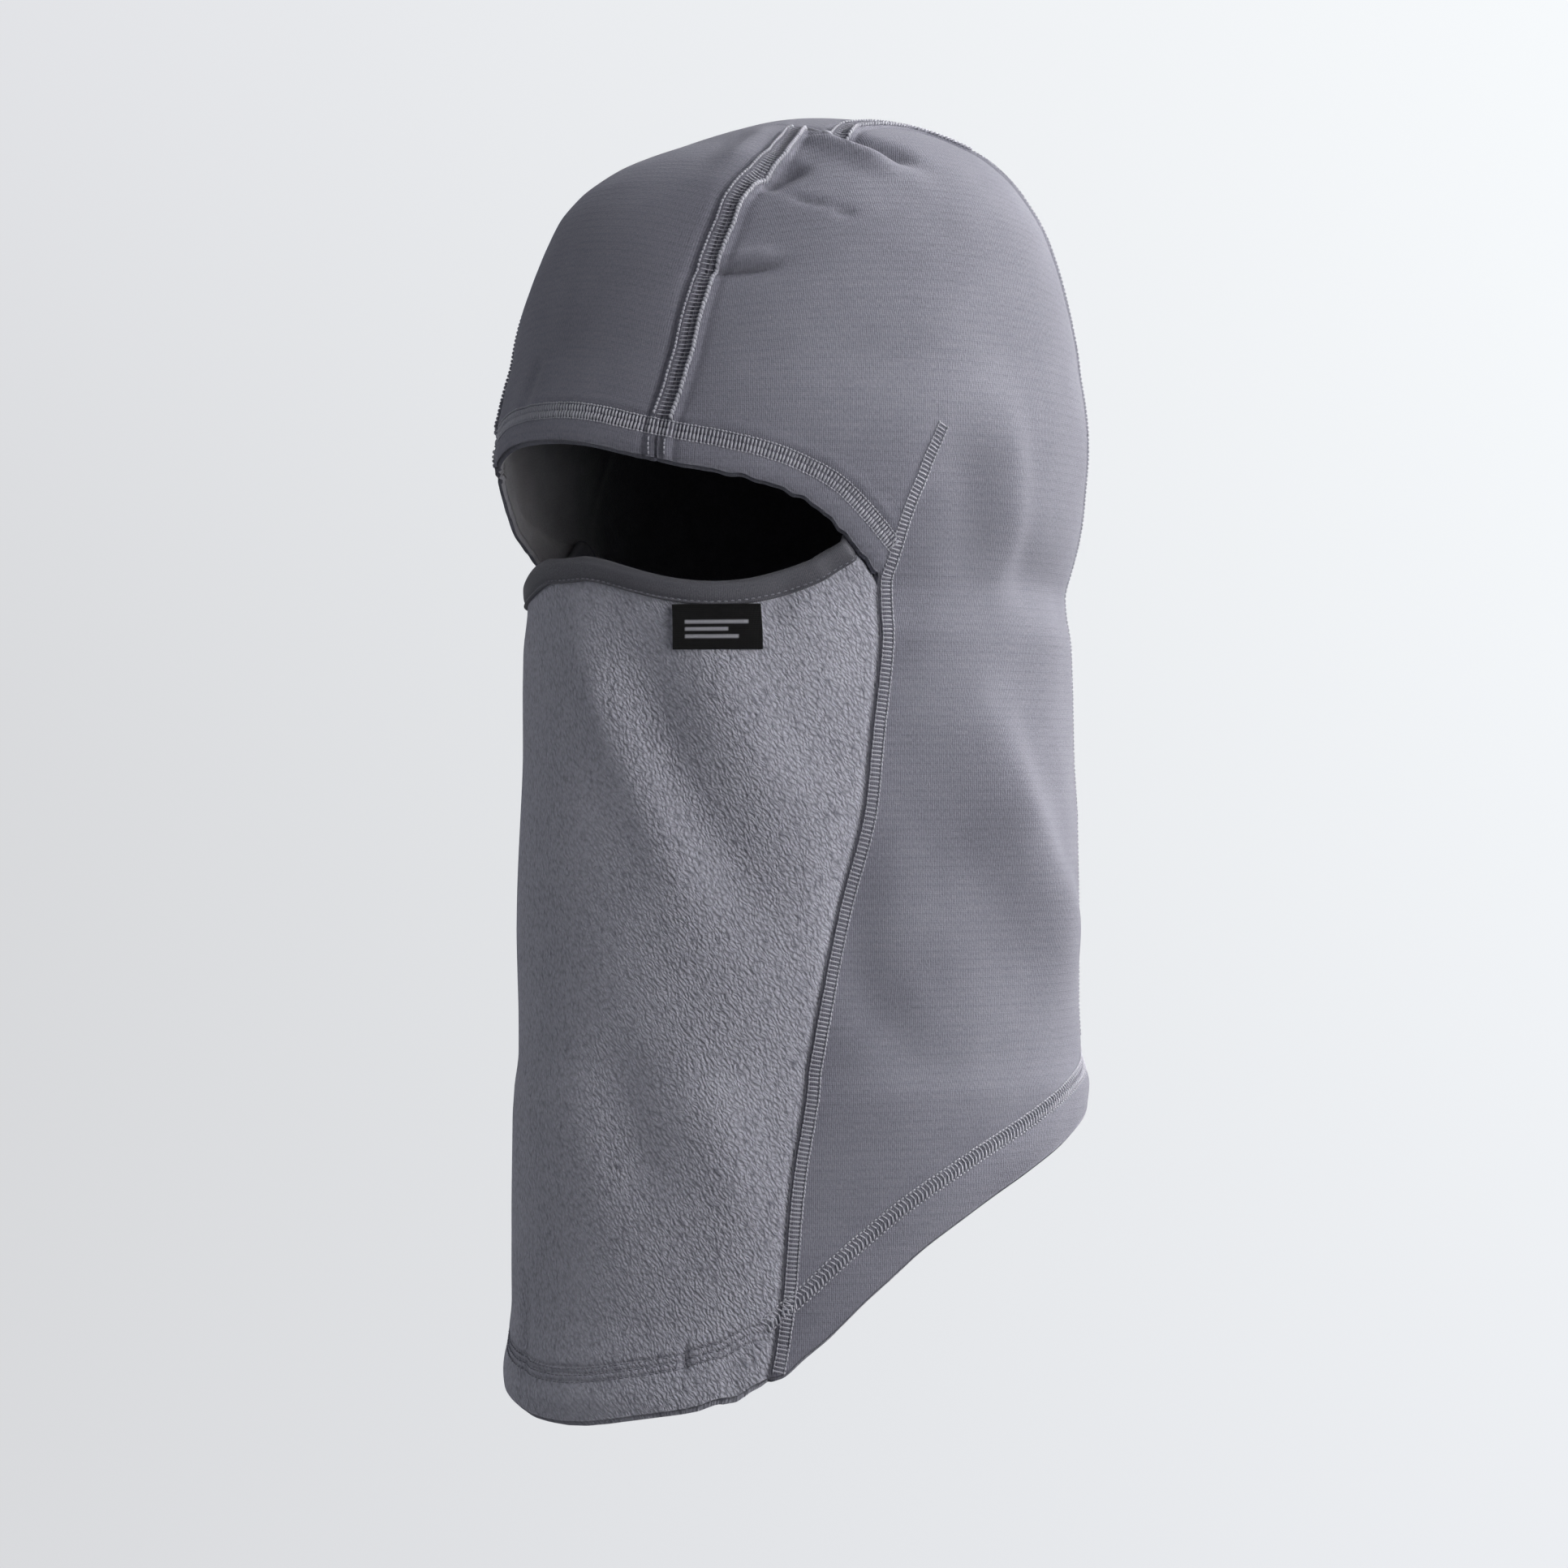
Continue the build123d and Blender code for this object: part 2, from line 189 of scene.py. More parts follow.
# lower edge of the hem over the eyes on the wearer's left and right, as (Y, Z)
BROW = {1: [(-112, 1.9), (-100, 1.3), (-93, -2.7), (-86, -5.7), (-76, -8.6), (-67, -11.0),
            (-58, -14.4), (-50, -18.4), (-44, -23.0), (-36, -30.4), (-27, -39.2)],
        -1: [(-112, 1.9), (-100, 1.3), (-93, -2.7), (-86, -5.9), (-80, -11), (-76, -17),
             (-71, -24), (-62, -30.5), (-52, -34.5), (-45, -37), (-27, -39.2)]}
BROW = {side: spline(line) for side, line in BROW.items()}
for line in BROW.values():
    run = np.arange(len(line))
    line[:, 1] += (0.28 * np.sin(run / 1.4) + 0.2 * np.sin(run / 0.9 + 1)) * smooth(run, 22, 50)
RIM = spline([(-112, -29.5), (-105, -30), (-97, -31.6), (-92, -33.6), (-86.8, -36.8),
              (-78.8, -40.4), (-72.4, -41.6), (-62.3, -41.0), (-54.9, -38.8), (-47, -35.2),
              (-38.9, -29.4), (-33, -25.4)])
JOIN = spline([(-27, -39.2), (-28, -62), (-31, -85), (-34, -110), (-40.5, -136),
               (-46.3, -163), (-51.2, -191), (-55, -217), (-57.2, -249), (-58.8, -263),
               (-61.9, -276.6)])
DART = [(-10.6, 7.5), (-13.9, 1.4), (-16.3, -3.1), (-18.6, -8.5), (-20.9, -13.6),
        (-24.2, -24.9), (-25.2, -31), (-27, -39.2)]
HOOD_EDGE = spline([(125, -181), (116, -184), (92, -196), (70, -204.4), (59, -207.6),
                    (46, -212), (35.6, -215.6), (22.4, -220.7), (11, -225.4), (1, -230.2),
                    (-8, -235), (-17, -240.6), (-25, -246.8), (-35.3, -255.2), (-44.6, -264),
                    (-54, -272), (-58, -275.5), (-61.9, -276.6)])
FACE_EDGE = spline([(-61.9, -276.6), (-66, -279), (-69.8, -281.9), (-73, -282.4),
                    (-76.5, -284.2), (-82, -286.4), (-87.4, -288.3), (-91, -290.1),
                    (-94, -292), (-100, -294.5), (-112, -300)])


def height_on(line, y):
    order = np.argsort(line[:, 0])
    return np.interp(y, line[order, 0], line[order, 1])


# How far from the middle the crown seams run, as a share of half the strip's width, against
# the angle over the crown from the brow at 0 to the back at 180. They draw in to the crown,
# where the cloth is folded on itself, and open out again. The calm seams are the same without
# that fold: the side panels are laid out beside them.
TURN = np.linspace(0, 180, 721)
NARROW = np.interp(TURN, (0, 9, 27, 44, 58, 64, 68, 72, 73.4, 74, 77, 81, 89, 94, 98, 105, 112,
                          122, 138, 180),
                   (.885, .935, .96, .95, .89, .81, .67, .53, .51, .76, .725, .61, .54, .515,
                    .55, .68, .77, .855, .92, .98))
CALM = np.interp(TURN, (0, 9, 44, 60, 74, 92, 105, 122, 138, 180),
                 (.885, .935, .95, .87, .66, .56, .68, .855, .92, .98))


def evened(values, n):
    window = np.hanning(n)[1:-1]
    return np.convolve(np.pad(values, n // 2 - 1, "edge"), window / window.sum(), "valid")


NARROW, CALM = evened(NARROW, 7), evened(CALM, 61)


def crown_height(x):
    """The height that the middle line over the head has at this distance from it."""
    table = np.linspace(0, CROWN_TOP, 4000)
    a, _, _, cos2 = form(table)
    return np.interp(-np.abs(x), -(a * np.sqrt(cos2)), table)


def y_at(x, z, sign):
    """The Y of the form at this X and height, in front or behind."""
    a, b, centre, cos2 = form(z)
    return centre + sign * b * np.sqrt(np.maximum(cos2 - (x / a) ** 2, 0))


def column(x, count=None, share=NARROW):
    """A line over the crown from the brow's edge to the back's, this far from the middle."""
    side = 1 if x >= 0 else -1
    wide = x * share
    low, back = -5.0, -190.0
    for _ in range(6):
        low = float(height_on(BROW[side], y_at(wide[0], np.array(low), -1)))
        back = float(height_on(HOOD_EDGE, y_at(wide[-1], np.array(back), 1)))
    rise = crown_height(wide) * np.sin(np.radians(TURN))
    sign = np.where(TURN < 90, -1, 1)
    keep = (rise > max(low, 0)) | (TURN > 90)
    rise[-1] = 0
    over = np.stack([wide, y_at(wide, rise, sign), rise], axis=1)[keep]
    front = np.linspace(low, over[0, 2], 12)[:-1]
    behind = np.linspace(0, back, 200)[1:]
    p = np.concatenate([
        np.stack([wide[0] + 0 * front, y_at(wide[0], front, -1), front], axis=1), over,
        np.stack([wide[-1] + 0 * behind, y_at(wide[-1], behind, 1), behind], axis=1)])
    return evenly(p, n=count)


def drawn_in(p, reach=30.0):
    """Side panel points laid beside calm seams, shifted to where the seams really run."""
    x, y, z = np.moveaxis(p, -1, 0)
    side, x = np.sign(x), np.abs(x)
    _, _, centre, _ = form(z)
    turn = np.degrees(np.arcsin(np.clip(z / np.maximum(crown_height(x), 1e-6), 0, 1)))
    sign = np.where(y < centre, -1, 1)
    turn = np.where(sign < 0, turn, 180 - turn)
    calm = HALF_GUSSET * np.interp(turn, TURN, CALM)
    move = HALF_GUSSET * np.interp(turn, TURN, NARROW) - calm
    move = move * (1 - smooth(x - calm, 0, reach))
    z = np.where(z > 0, crown_height(x + move) * np.sin(np.radians(turn)), z)
    moved = np.stack([side * (x + move), y_at(x + move, z, sign), z], axis=-1)
    return np.where(np.abs(move)[..., None] > 1e-3, moved, p)


def on_side(line, side):
    """A line of (Y, Z) pairs as points on one side of the form."""
    return side_points(line[:, 0], line[:, 1], side)


def all_round(left, right):
    """An edge from the right side past the middle to the left; its lines start in the middle."""
    left, right = on_side(left, 1), on_side(right, -1)
    return np.concatenate([right[right[:, 0] < -1][::-1], left[left[:, 0] > 1]])


SIDES = {1: "left", -1: "right"}
SEAM = {s: column(s * HALF_GUSSET) for s in SIDES}
brow_round = all_round(BROW[1], BROW[-1])
hood_round = all_round(HOOD_EDGE, HOOD_EDGE)
face_round = all_round(FACE_EDGE[::-1], FACE_EDGE[::-1])
join_line = {s: on_side(JOIN, s) for s in SIDES}
dart = spline(DART)
dart_line = {s: on_side(dart, s) for s in SIDES}

# ---- relief of the cloth ----------------------------------------------------
# depths of the hems, and how far from the edge their rows of stitches run
BROW_HEM, BACK_HEM, FACE_HEM = 11.5, 17.0, 15.0
BROW_ROW, HOOD_ROW, BINDING_ROW = 9.2, 14.6, 6.0
FACE_ROWS = (11.9, 14.1, 16.2)
# kind of points, points, height, width on one side and on the other. The points are (X, Y)
# on the crown, (Y, Z) on the left and right, and (turn, Z) elsewhere.
FOLDS = [
    ("crown", [(27, -19), (40, -19), (50, -13), (58, -4)], 3.4, 5, 5),
    ("crown", [(28, -10), (40, -8), (48, -2), (55, 5)], -4.2, 4.6, 4.6),
    ("crown", [(31, -56), (27.6, -46), (20, -31), (8, -20)], 1.6, 5, 5),
    ("left", [(-52, 76), (-42, 82), (-32, 86.5)], -4.6, 4.2, 4.2),
    ("left", [(-45, 75), (-39, 72.5), (-33, 72.5)], -1.2, 1.8, 1.8),
    ("left", [(-35, 70), (-27, 69)], -1.0, 2, 2),
    ("left", [(-75, 50), (-66, 51), (-58, 51.8), (-50, 53.5)], -2.8, 1.8, 1.8),
    ("left", [(-67, 55), (-60, 55.4), (-52, 57)], 1.3, 2.2, 2.2),
    ("turn", [(-95, 30), (-97, 20), (-99, 8)], -1.1, 3.5, 3.5),
    ("left", [(3, -60), (10, -85), (24, -110), (43, -135), (76, -159)], 6.0, 13, 21),
    ("left", [(14, 24), (22, -12), (19, -60)], 1.7, 8, 11),
    ("left", [(-4, 6), (2, -18), (0, -46)], -1.3, 9, 9),
    ("turn", [(-80, -40), (-72, -60), (-66, -84), (-58, -108), (-46, -132), (-37, -155)],
     -3.2, 10, 10),
    ("turn", [(-57, -48), (-51, -75), (-42, -100), (-34, -118)], 2.5, 11, 11),
    ("turn", [(-95, -40), (-81, -73), (-66, -110), (-55.5, -150)], 3.0, 9, 9),
    ("turn", [(-80, -170), (-71, -206), (-62, -236)], -3.4, 12, 12),
    ("turn", [(-60, -180), (-50, -210), (-46, -240)], 2.2, 10, 10),
    ("turn", [(-34, -38), (-38, -46), (-43, -58)], -1.8, 4, 4),
    ("turn", [(5, -32), (26, -40), (56, -46)], -1.8, 9, 9),
    ("turn", [(-22, -105), (-25, -135), (-22, -165), (-8, -188)], -2.1, 9, 9),
    ("turn", [(-58, -265), (-58, -277)], -1.5, 1.6, 1.6),
    ("turn", [(-110, -240), (-104, -262), (-102.5, -275), (-103, -294)], -1.3, 3.4, 3.4),
    ("right", [(-78, -28), (-76, 0), (-72, 25), (-65, 50), (-48, 80), (-22, 98)], -2.6, 15, 15),
    ("turn", [(-131, -24), (-131, -43), (-131, -62)], -2.8, 12, 12)]


def fold_line(kind, points):
    p = np.array(points, float)
    if kind == "turn":
        return spline(turn_points(p[:, 0], p[:, 1]), 3.0)
    if kind == "crown":
        half_width, half_depth, centre = 92.5, 115.6, 14
        cos2 = 1 - (p[:, 0] / half_width) ** 2 - ((p[:, 1] - centre) / half_depth) ** 2
        z = CROWN_TOP * np.sqrt(np.maximum(cos2, 0.02))
        return spline(on_form(np.stack([p[:, 0], p[:, 1], z], axis=1), 4), 3.0)
    return spline(on_side(p, 1 if kind == "left" else -1), 3.0)


fold_lines = [(fold_line(kind, points), *rest) for kind, points, *rest in FOLDS]


def ridge(away, at, width, power=2):
    """1 where this far away from a line, falling off on both sides."""
    return np.exp(-((away - at) / width) ** power)


def between(away, low, high, soft=0.5):
    return smooth(away, low - soft, low + soft) * (1 - smooth(away, high - soft, high + soft))


def midway(at, line):
    """1 along the middle of a line, falling off over a third of it to each end."""
    total = lengths(line)[-1]
    return smooth(at, 0, 0.35 * total) * smooth(total - at, 0, 0.35 * total)


def dart_y(p):
    """The Y of the darts at the height of each point."""
    return np.interp(-p[:, 2], -dart_line[1][:, 2], dart_line[1][:, 1])


def before_dart(p):
    """1 over the eyes and in front of the darts, 0 behind and below them."""
    return (1 - smooth(p[:, 1] - dart_y(p), -1.0, 1.5)) * smooth(p[:, 2], -43, -39)


def relief(p):
    """How far the cloth stands off the form, in mm, at points near it."""
    shape = p.shape[:-1]
    p = p.reshape(-1, 3)
    x, y, z = p.T
    # slow unevenness of cloth that isn't stretched tight
    out = 0.35 * np.sin(x / 17 + 1.3 * np.sin(z / 41)) * np.sin(z / 23 + y / 31)
    out += 0.22 * np.sin(y / 9.5 + x / 21 + 2.1) * np.sin(z / 14 - x / 19)
    for line, high, left, right in fold_lines:
        away, at, side = line_distance(p, line, 3.2 * max(left, right))
        ends = midway(at, line)
        if left == right:
            ends = 0.15 + 0.85 * ends
        out += high * ridge(away, 0, np.where(side > 0, left, right)) * ends
    # seams lie in a groove between two low ridges
    for s in SIDES:
        away, at, _ = line_distance(p, SEAM[s][::4], 12)
        groove = 0.5 * ridge(away, 2.7, 1.2) - 0.3 * ridge(away, 0, 1.2)
        out += (1 - smooth(at, 300, 380)) * (groove - 0.7 * ridge(away, 4.7, 1.1))
        away, _, _ = line_distance(p, join_line[s][::4], 12)
        out -= 0.7 * ridge(away, 0, 1.1)
        away, at, _ = line_distance(p, dart_line[s][::3], 12)
        out -= 0.25 * ridge(away, 0, 1.2) * smooth(at, 0, 6)
    # hems are fuller at the edge and pressed in under their stitches
    away, _, _ = line_distance(p, brow_round[::3], 30)
    pressed = 0.35 * ridge(away, 3.2, 2.4) - 0.5 * ridge(away, BROW_ROW, 2.6, 4)
    out += before_dart(p) * (pressed + 0.3 * ridge(away, 13.5, 1.6))
    away, _, _ = line_distance(p, hood_round[::4], 40)
    out += 0.5 * ridge(away, 6, 4.5) - 0.55 * ridge(away, HOOD_ROW, 2.8, 4)
    away, _, _ = line_distance(p, face_round[::3], 40)
    front = smooth(-y, 55, 60)
    out += 0.5 * ridge(away, 5.5, 3.6) * front
    for row in FACE_ROWS:
        out -= 0.5 * ridge(away, row, 0.6) * front
    return out.reshape(shape)


def placed(p, sink=0.0):
    return p + normal(p) * (relief(p) - sink)[..., None]


def tuck(p):
    """How far the fleece and its binding go in to pass behind the hem at the eyes."""
    y = p[..., 1]
    hem = np.where(p[..., 0] > 0, height_on(BROW[1], y), height_on(BROW[-1], y))
    return 3.9 * smooth(p[..., 2] - hem, -4.0, 0.0)


def painted_shade(p, knit):
    """Painted shade, 0 to 1: how far the cloth's colour is darkened where shade falls, under
    stitches, along seams, at the brow's edge and in sharp creases.
    """
    shape = p.shape[:-1]
    p = p.reshape(-1, 3)
    out = np.zeros(len(p))

    def over(value):
        np.maximum(out, value, out=out)

    for s in SIDES:
        away, _, _ = line_distance(p, join_line[s][::4], 12)
        over(0.7 * (1 - smooth(away, 0.3, 1.4)))
        if knit:
            over(0.12 * (1 - smooth(away, 4.0, 5.0)))
            away, at, _ = line_distance(p, SEAM[s][::4], 12)
            over(0.42 * (1 - smooth(at, 200, 260)) * (1 - smooth(away, 2.3, 3.3)))
            away, _, _ = line_distance(p, dart_line[s][::3], 12)
            over(0.12 * between(away, 0.5, 4.4) * (p[:, 1] > dart_y(p)))
    # painted shade in narrow creases, where their shadow falls
    for line, high, width, _ in fold_lines:
        if high < 0 and width < 5:
            away, at, _ = line_distance(p, line, 3 * width)
            depth = -high * (0.2 if width < 3 else 0.085)
            over(depth * ridge(away, 0, 0.75 * width) * midway(at, line))
    if knit:
        away, _, _ = line_distance(p, brow_round[::3], 14)
        over(before_dart(p) * (0.3 * between(away, 6.9, 11.5)
                               + 0.35 * (1 - smooth(away, 0.4, 1.4))))
        away, _, _ = line_distance(p, hood_round[::4], 22)
        over(0.16 * between(away, 12.2, 17.0))
    else:
        away, _, _ = line_distance(p, face_round[::3], 22)
        for row in FACE_ROWS:
            over(0.5 * ridge(away, row, 0.4))
    return out.reshape(shape)


# ---- meshes -----------------------------------------------------------------
def mesh_object(name, points, corners, starts, marks=None, weave=None):
    """A smooth mesh from points in mm; each face's corners begin at its start."""
    mesh = bpy.data.meshes.new(name)
    mesh.vertices.add(len(points))
    mesh.vertices.foreach_set("co", (points / 1000).astype(np.float32).ravel())
    mesh.loops.add(len(corners))
    mesh.loops.foreach_set("vertex_index", corners.astype(np.int32))
    mesh.polygons.add(len(starts))
    mesh.polygons.foreach_set("loop_start", starts.astype(np.int32))
    mesh.polygons.foreach_set("use_smooth", np.ones(len(starts), bool))
    if marks is not None:
        mesh.polygons.foreach_set("material_index", marks.astype(np.int32))
    if weave is not None:
        layer = mesh.attributes.new("weave", "FLOAT_VECTOR", "POINT")
        layer.data.foreach_set("vector", weave.astype(np.float32).ravel())
    mesh.update(calc_edges=True)
    mesh.validate()
    made = bpy.data.objects.new(name, mesh)
    bpy.context.scene.collection.objects.link(made)
    return made


def grid_faces(m, n, first=0):
    i, j = np.meshgrid(np.arange(m - 1), np.arange(n - 1), indexing="ij")
    k = (i * n + j).ravel() + first
    return np.stack([k, k + 1, k + n + 1, k + n], axis=1)


def border(m, n):
    """Rows and columns of the points round a grid's edge, in order."""
    i = np.concatenate([np.arange(m - 1), np.full(n - 1, m - 1), np.arange(m - 1, 0, -1),
                        np.zeros(n - 1, int)])
    j = np.concatenate([np.zeros(m - 1, int), np.arange(n - 1), np.full(m - 1, n - 1),
                        np.arange(n - 1, 0, -1)])
    return i, j


def shell(name, outer, outward, thick, weave, edge=1.0, dark=None):
    """A closed sheet with a rounded edge under a grid of points."""
    m, n, _ = outer.shape
    up = unit(np.cross(np.gradient(outer, axis=0), np.gradient(outer, axis=1)))
    flip = (up * outward).sum() < 0
    if flip:
        up = -up
    inner = outer - up * thick[..., None]
    i, j = border(m, n)
    a, b = outer[i, j], inner[i, j]
    away = a - outer[np.clip(i, 1, m - 2), np.clip(j, 1, n - 2)]
    away = unit(away - up[i, j] * (away * up[i, j]).sum(-1, keepdims=True))
    rim = []
    for t in (0.3, 0.5, 0.7):
        bulge = math.sin(math.pi * t) * 0.5 * edge
        rim.append(a + (b - a) * t + away * (bulge * thick[i, j])[:, None])
    k = len(i)
    points = np.concatenate([outer.reshape(-1, 3), inner.reshape(-1, 3), *rim])
    top = grid_faces(m, n)
    low = grid_faces(m, n, m * n)[:, ::-1]
    rings = [i * n + j] + [2 * m * n + r * k + np.arange(k) for r in range(3)] + [m * n + i * n + j]
    around = np.concatenate([np.stack([r, np.roll(r, -1), np.roll(q, -1), q], axis=1)
                             for r, q in zip(rings, rings[1:])])
    if flip:
        top, low = top[:, ::-1], low[:, ::-1]
    else:
        around = around[:, ::-1]
    faces = np.concatenate([top, low, around])
    half = len(around) // 2
    marks = np.concatenate([np.zeros(len(top)), np.ones(len(low)), np.zeros(half), np.ones(half)])
    # dark is the painted shade under stitches, along seams and in creases, kept as the weave's third
    # value
    dark = np.zeros((m, n)) if dark is None else dark
    weave = np.concatenate([weave, dark[..., None]], axis=-1)
    flat = weave.reshape(-1, 3)
    weave = np.concatenate([flat, flat, *[weave[i, j]] * 3])
    return mesh_object(name, points, faces.ravel(), np.arange(len(faces)) * 4, marks, weave)


def cloth(name, base, thick, weave, knit=True, sink=0.0):
    """A grid of points on the form made into cloth with a rounded edge."""
    # the cloth's painted shade goes to the shell as its dark
    return shell(name, placed(base, sink), normal(base), thick, weave, dark=painted_shade(base, knit))


def coons(left, right, top, bottom, shares=None):
    """Grid between four lines; left and right run down, top and bottom across."""
    m, n = len(left), len(top)
    v = np.linspace(0, 1, m) if shares is None else shares
    v, u = v[:, None, None], np.linspace(0, 1, n)[None, :, None]
    return ((1 - u) * left[:, None] + u * right[:, None] + (1 - v) * top[None] + v * bottom[None]
            - (1 - u) * (1 - v) * top[0] - u * (1 - v) * top[-1]
            - (1 - u) * v * bottom[0] - u * v * bottom[-1])


# ---- the panels -------------------------------------------------------------
SHELL, HEM, FLEECE = 1.5, 2.3, 2.0
STEP = 1.0
GUSSET_LONG = 565
SIDE_LONG, SIDE_WIDE, SIDE_UNROLLED = 310, 185, 92
CROWN_SHARE = 0.36  # of the crown seam, along the top edge of a side panel
FACE_WIDE, FACE_LONG, FACE_FINE = 200, 230, 45
FINE_FROM = 1 - 20 / 250  # share of the fleece's length where its hem begins
UNDER_RIM = 1.5


def steps(size):
    """How many points a grid has over this many mm."""
    return int(size / STEP)


def hem_thickness(p, plain, folded, line, depth):
    away, _, _ = line_distance(p.reshape(-1, 3), line[::3], depth + 4)
    away = away.reshape(p.shape[:-1])
    return plain + (folded - plain) * (1 - smooth(away, depth - 3.5, depth + 2.5))


def knit_thickness(p):
    return np.maximum(hem_thickness(p, SHELL, HEM, brow_round, BROW_HEM),
                      hem_thickness(p, SHELL, HEM, hood_round, BACK_HEM))


def crown_gusset():
    """The centre strip, laid out in lines from the brow over the crown to the back."""
    across = np.linspace(-HALF_GUSSET, HALF_GUSSET, steps(2 * HALF_GUSSET) + 1)
    base = np.stack([column(x, steps(GUSSET_LONG)) for x in across], axis=1)
    run = np.linspace(0, GUSSET_LONG, len(base))[:, None] + 0 * across
    weave = np.stack([across + 0 * run, run], axis=-1)
    return cloth("crown_gusset_cloth", base, knit_thickness(base), weave)


def spread(p):
    """Flat coordinates of the side panels' knit, unrolled from the side's middle."""
    a, b, centre, _ = form(p[..., 2])
    x, y = p[..., 0] / a, (p[..., 1] - centre) / b
    z = np.maximum(p[..., 2], 0) / CROWN_TOP
    off = np.maximum(np.hypot(y, z), 1e-6)
    turn = SIDE_UNROLLED * np.arctan2(off, np.abs(x)) / off
    return np.stack([turn * y, np.minimum(p[..., 2], 0) + turn * z], axis=-1)


def side_panel(s):
    """A side panel between the brow, the crown seam, the hood's hem and the fleece."""
    seam = column(s * HALF_GUSSET, share=CALM)
    top_at = int(len(seam) * CROWN_SHARE)
    brow = BROW[s][BROW[s][:, 0] > seam[0, 1]]
    front = np.concatenate([seam[:1], on_side(brow, s), join_line[s][1:]])
    hem = HOOD_EDGE[::-1][1:]
    hem = hem[hem[:, 0] < seam[-1, 1]]
    hem = np.concatenate([join_line[s][-1:], on_side(hem, s), seam[-1:]])
    down, along = steps(SIDE_LONG), steps(SIDE_WIDE)
    base = on_form(coons(evenly(front, n=down), evenly(seam[top_at:], n=down),
                         evenly(seam[:top_at + 1], n=along), evenly(hem, n=along)), 6)
    base = drawn_in(base)
    return cloth(SIDES[s] + "_side_cloth", base, knit_thickness(base), spread(base))


def turn_of(line):
    """A line of (Y, Z) pairs on the left as turns and heights."""
    _, b, centre, _ = form(line[:, 1])
    return np.stack([np.degrees(np.arcsin(np.clip((line[:, 0] - centre) / b, -1, 1))),
                     line[:, 1]], axis=1)


def mirrored(turns):
    return np.stack([-180 - turns[:, 0], turns[:, 1]], axis=1)


def both_sides(line):
    """Turns and heights from the right side past the middle to the left."""
    turns = turn_of(line)
    turns = turns[turns[:, 0] > -88]
    return np.concatenate([mirrored(turns)[::-1], turns])


def at_turns(line, shares):
    """Points of a line of turns and heights at these shares of its length."""
    along = lengths(line * (1.5, 1))
    return np.stack([np.interp(shares * along[-1], along, line[:, k]) for k in (0, 1)], axis=1)


rim_round = both_sides(RIM)


def face_panel():
    """The fleece over nose, chin and neck, from under the binding to its own hem."""
    top = rim_round - (0, UNDER_RIM)
    side = np.concatenate([top[-1:], turn_of(JOIN)])
    # rows of points lie closer together at the hem, for its sunk stitching
    down = np.concatenate([np.linspace(0, FINE_FROM, steps(FACE_LONG)),
                           np.linspace(FINE_FROM, 1, steps(FACE_FINE))[1:]])
    across = np.linspace(0, 1, steps(FACE_WIDE))
    t = coons(at_turns(mirrored(side), down), at_turns(side, down), at_turns(top, across),
              at_turns(both_sides(FACE_EDGE[::-1]), across), down)
    base = turn_points(t[..., 0], t[..., 1])
    thick = hem_thickness(base, FLEECE, 2 * FLEECE, face_round, FACE_HEM)
    weave = np.stack([np.radians(t[..., 0]) * 90, t[..., 1]], axis=-1)
    return cloth("face_fleece_cloth", base, thick, weave, False, tuck(base))


# the binding's section, up the outside, over the edge and down inside: share of its width
# below the edge, distance off the form
BINDING_WIDE, BINDING_THICK = 7.0, 0.5
BINDING_SECTION = [(1.0, 0.2), (0.99, 0.7), (0.95, 1.15), (0.91, 1.15), (0.87, 0.6),
                   (0.83, 0.5), (0.79, 0.7), (0.68, 1.1), (0.5, 1.3), (0.3, 1.3), (0.16, 1.2),
                   (0.08, 0.9), (0.02, 0.4), (-0.03, -0.5), (-0.03, -1.6), (0.03, -2.6),
                   (0.12, -3.2), (0.3, -3.4), (0.6, -3.35), (0.88, -3.2), (0.95, -2.9),
                   (0.97, -2.3)]


def eye_binding():
    """The strip folded over the fleece's top edge."""
    rim = evenly(turn_points(rim_round[:, 0], rim_round[:, 1]))
    wide = BINDING_WIDE + 0.25 * np.sin(np.linspace(0, 17, len(rim)))
    below = np.cross(normal(rim), unit(np.gradient(rim, axis=0)))
    below = unit(below * np.sign(-below[:, 2:3]))
    rows = []
    for share, out in BINDING_SECTION:
        q = on_form(rim + below * (share * wide)[:, None])
        rows.append(q + normal(q) * (relief(q) - tuck(q) + out)[:, None])
    p = np.stack(rows, axis=0)
    # four rows of points from each one of the section, then rounded off
    last = len(rows) - 1
    index = np.linspace(0, last, 4 * last)
    low = np.floor(index).astype(int).clip(0, last - 1)
    f = (index - low)[:, None, None]
    p = p[low] * (1 - f) + p[low + 1] * f
    for _ in range(3):
        p[1:-1] = (p[:-2] + 2 * p[1:-1] + p[2:]) / 4
    m, n, _ = p.shape
    weave = np.stack([np.broadcast_to(lengths(rim), (m, n)),
                      np.broadcast_to(np.linspace(0, 20, m)[:, None], (m, n))], -1)
    outward = np.zeros_like(p)
    outward[:15] = normal(p[:15])
    thick = np.full((m, n), BINDING_THICK)
    return shell("eye_binding_strip", p, outward, thick, weave, edge=0.6)


gusset = crown_gusset()
sides = {s: side_panel(s) for s in SIDES}
face = face_panel()
strip = eye_binding()

# ---- sewing thread ----------------------------------------------------------
BROW_PITCH, SEAM_PITCH, HOOD_PITCH, ROW_PITCH = 1.15, 1.3, 1.5, 2.0
UNEVEN = 0.06


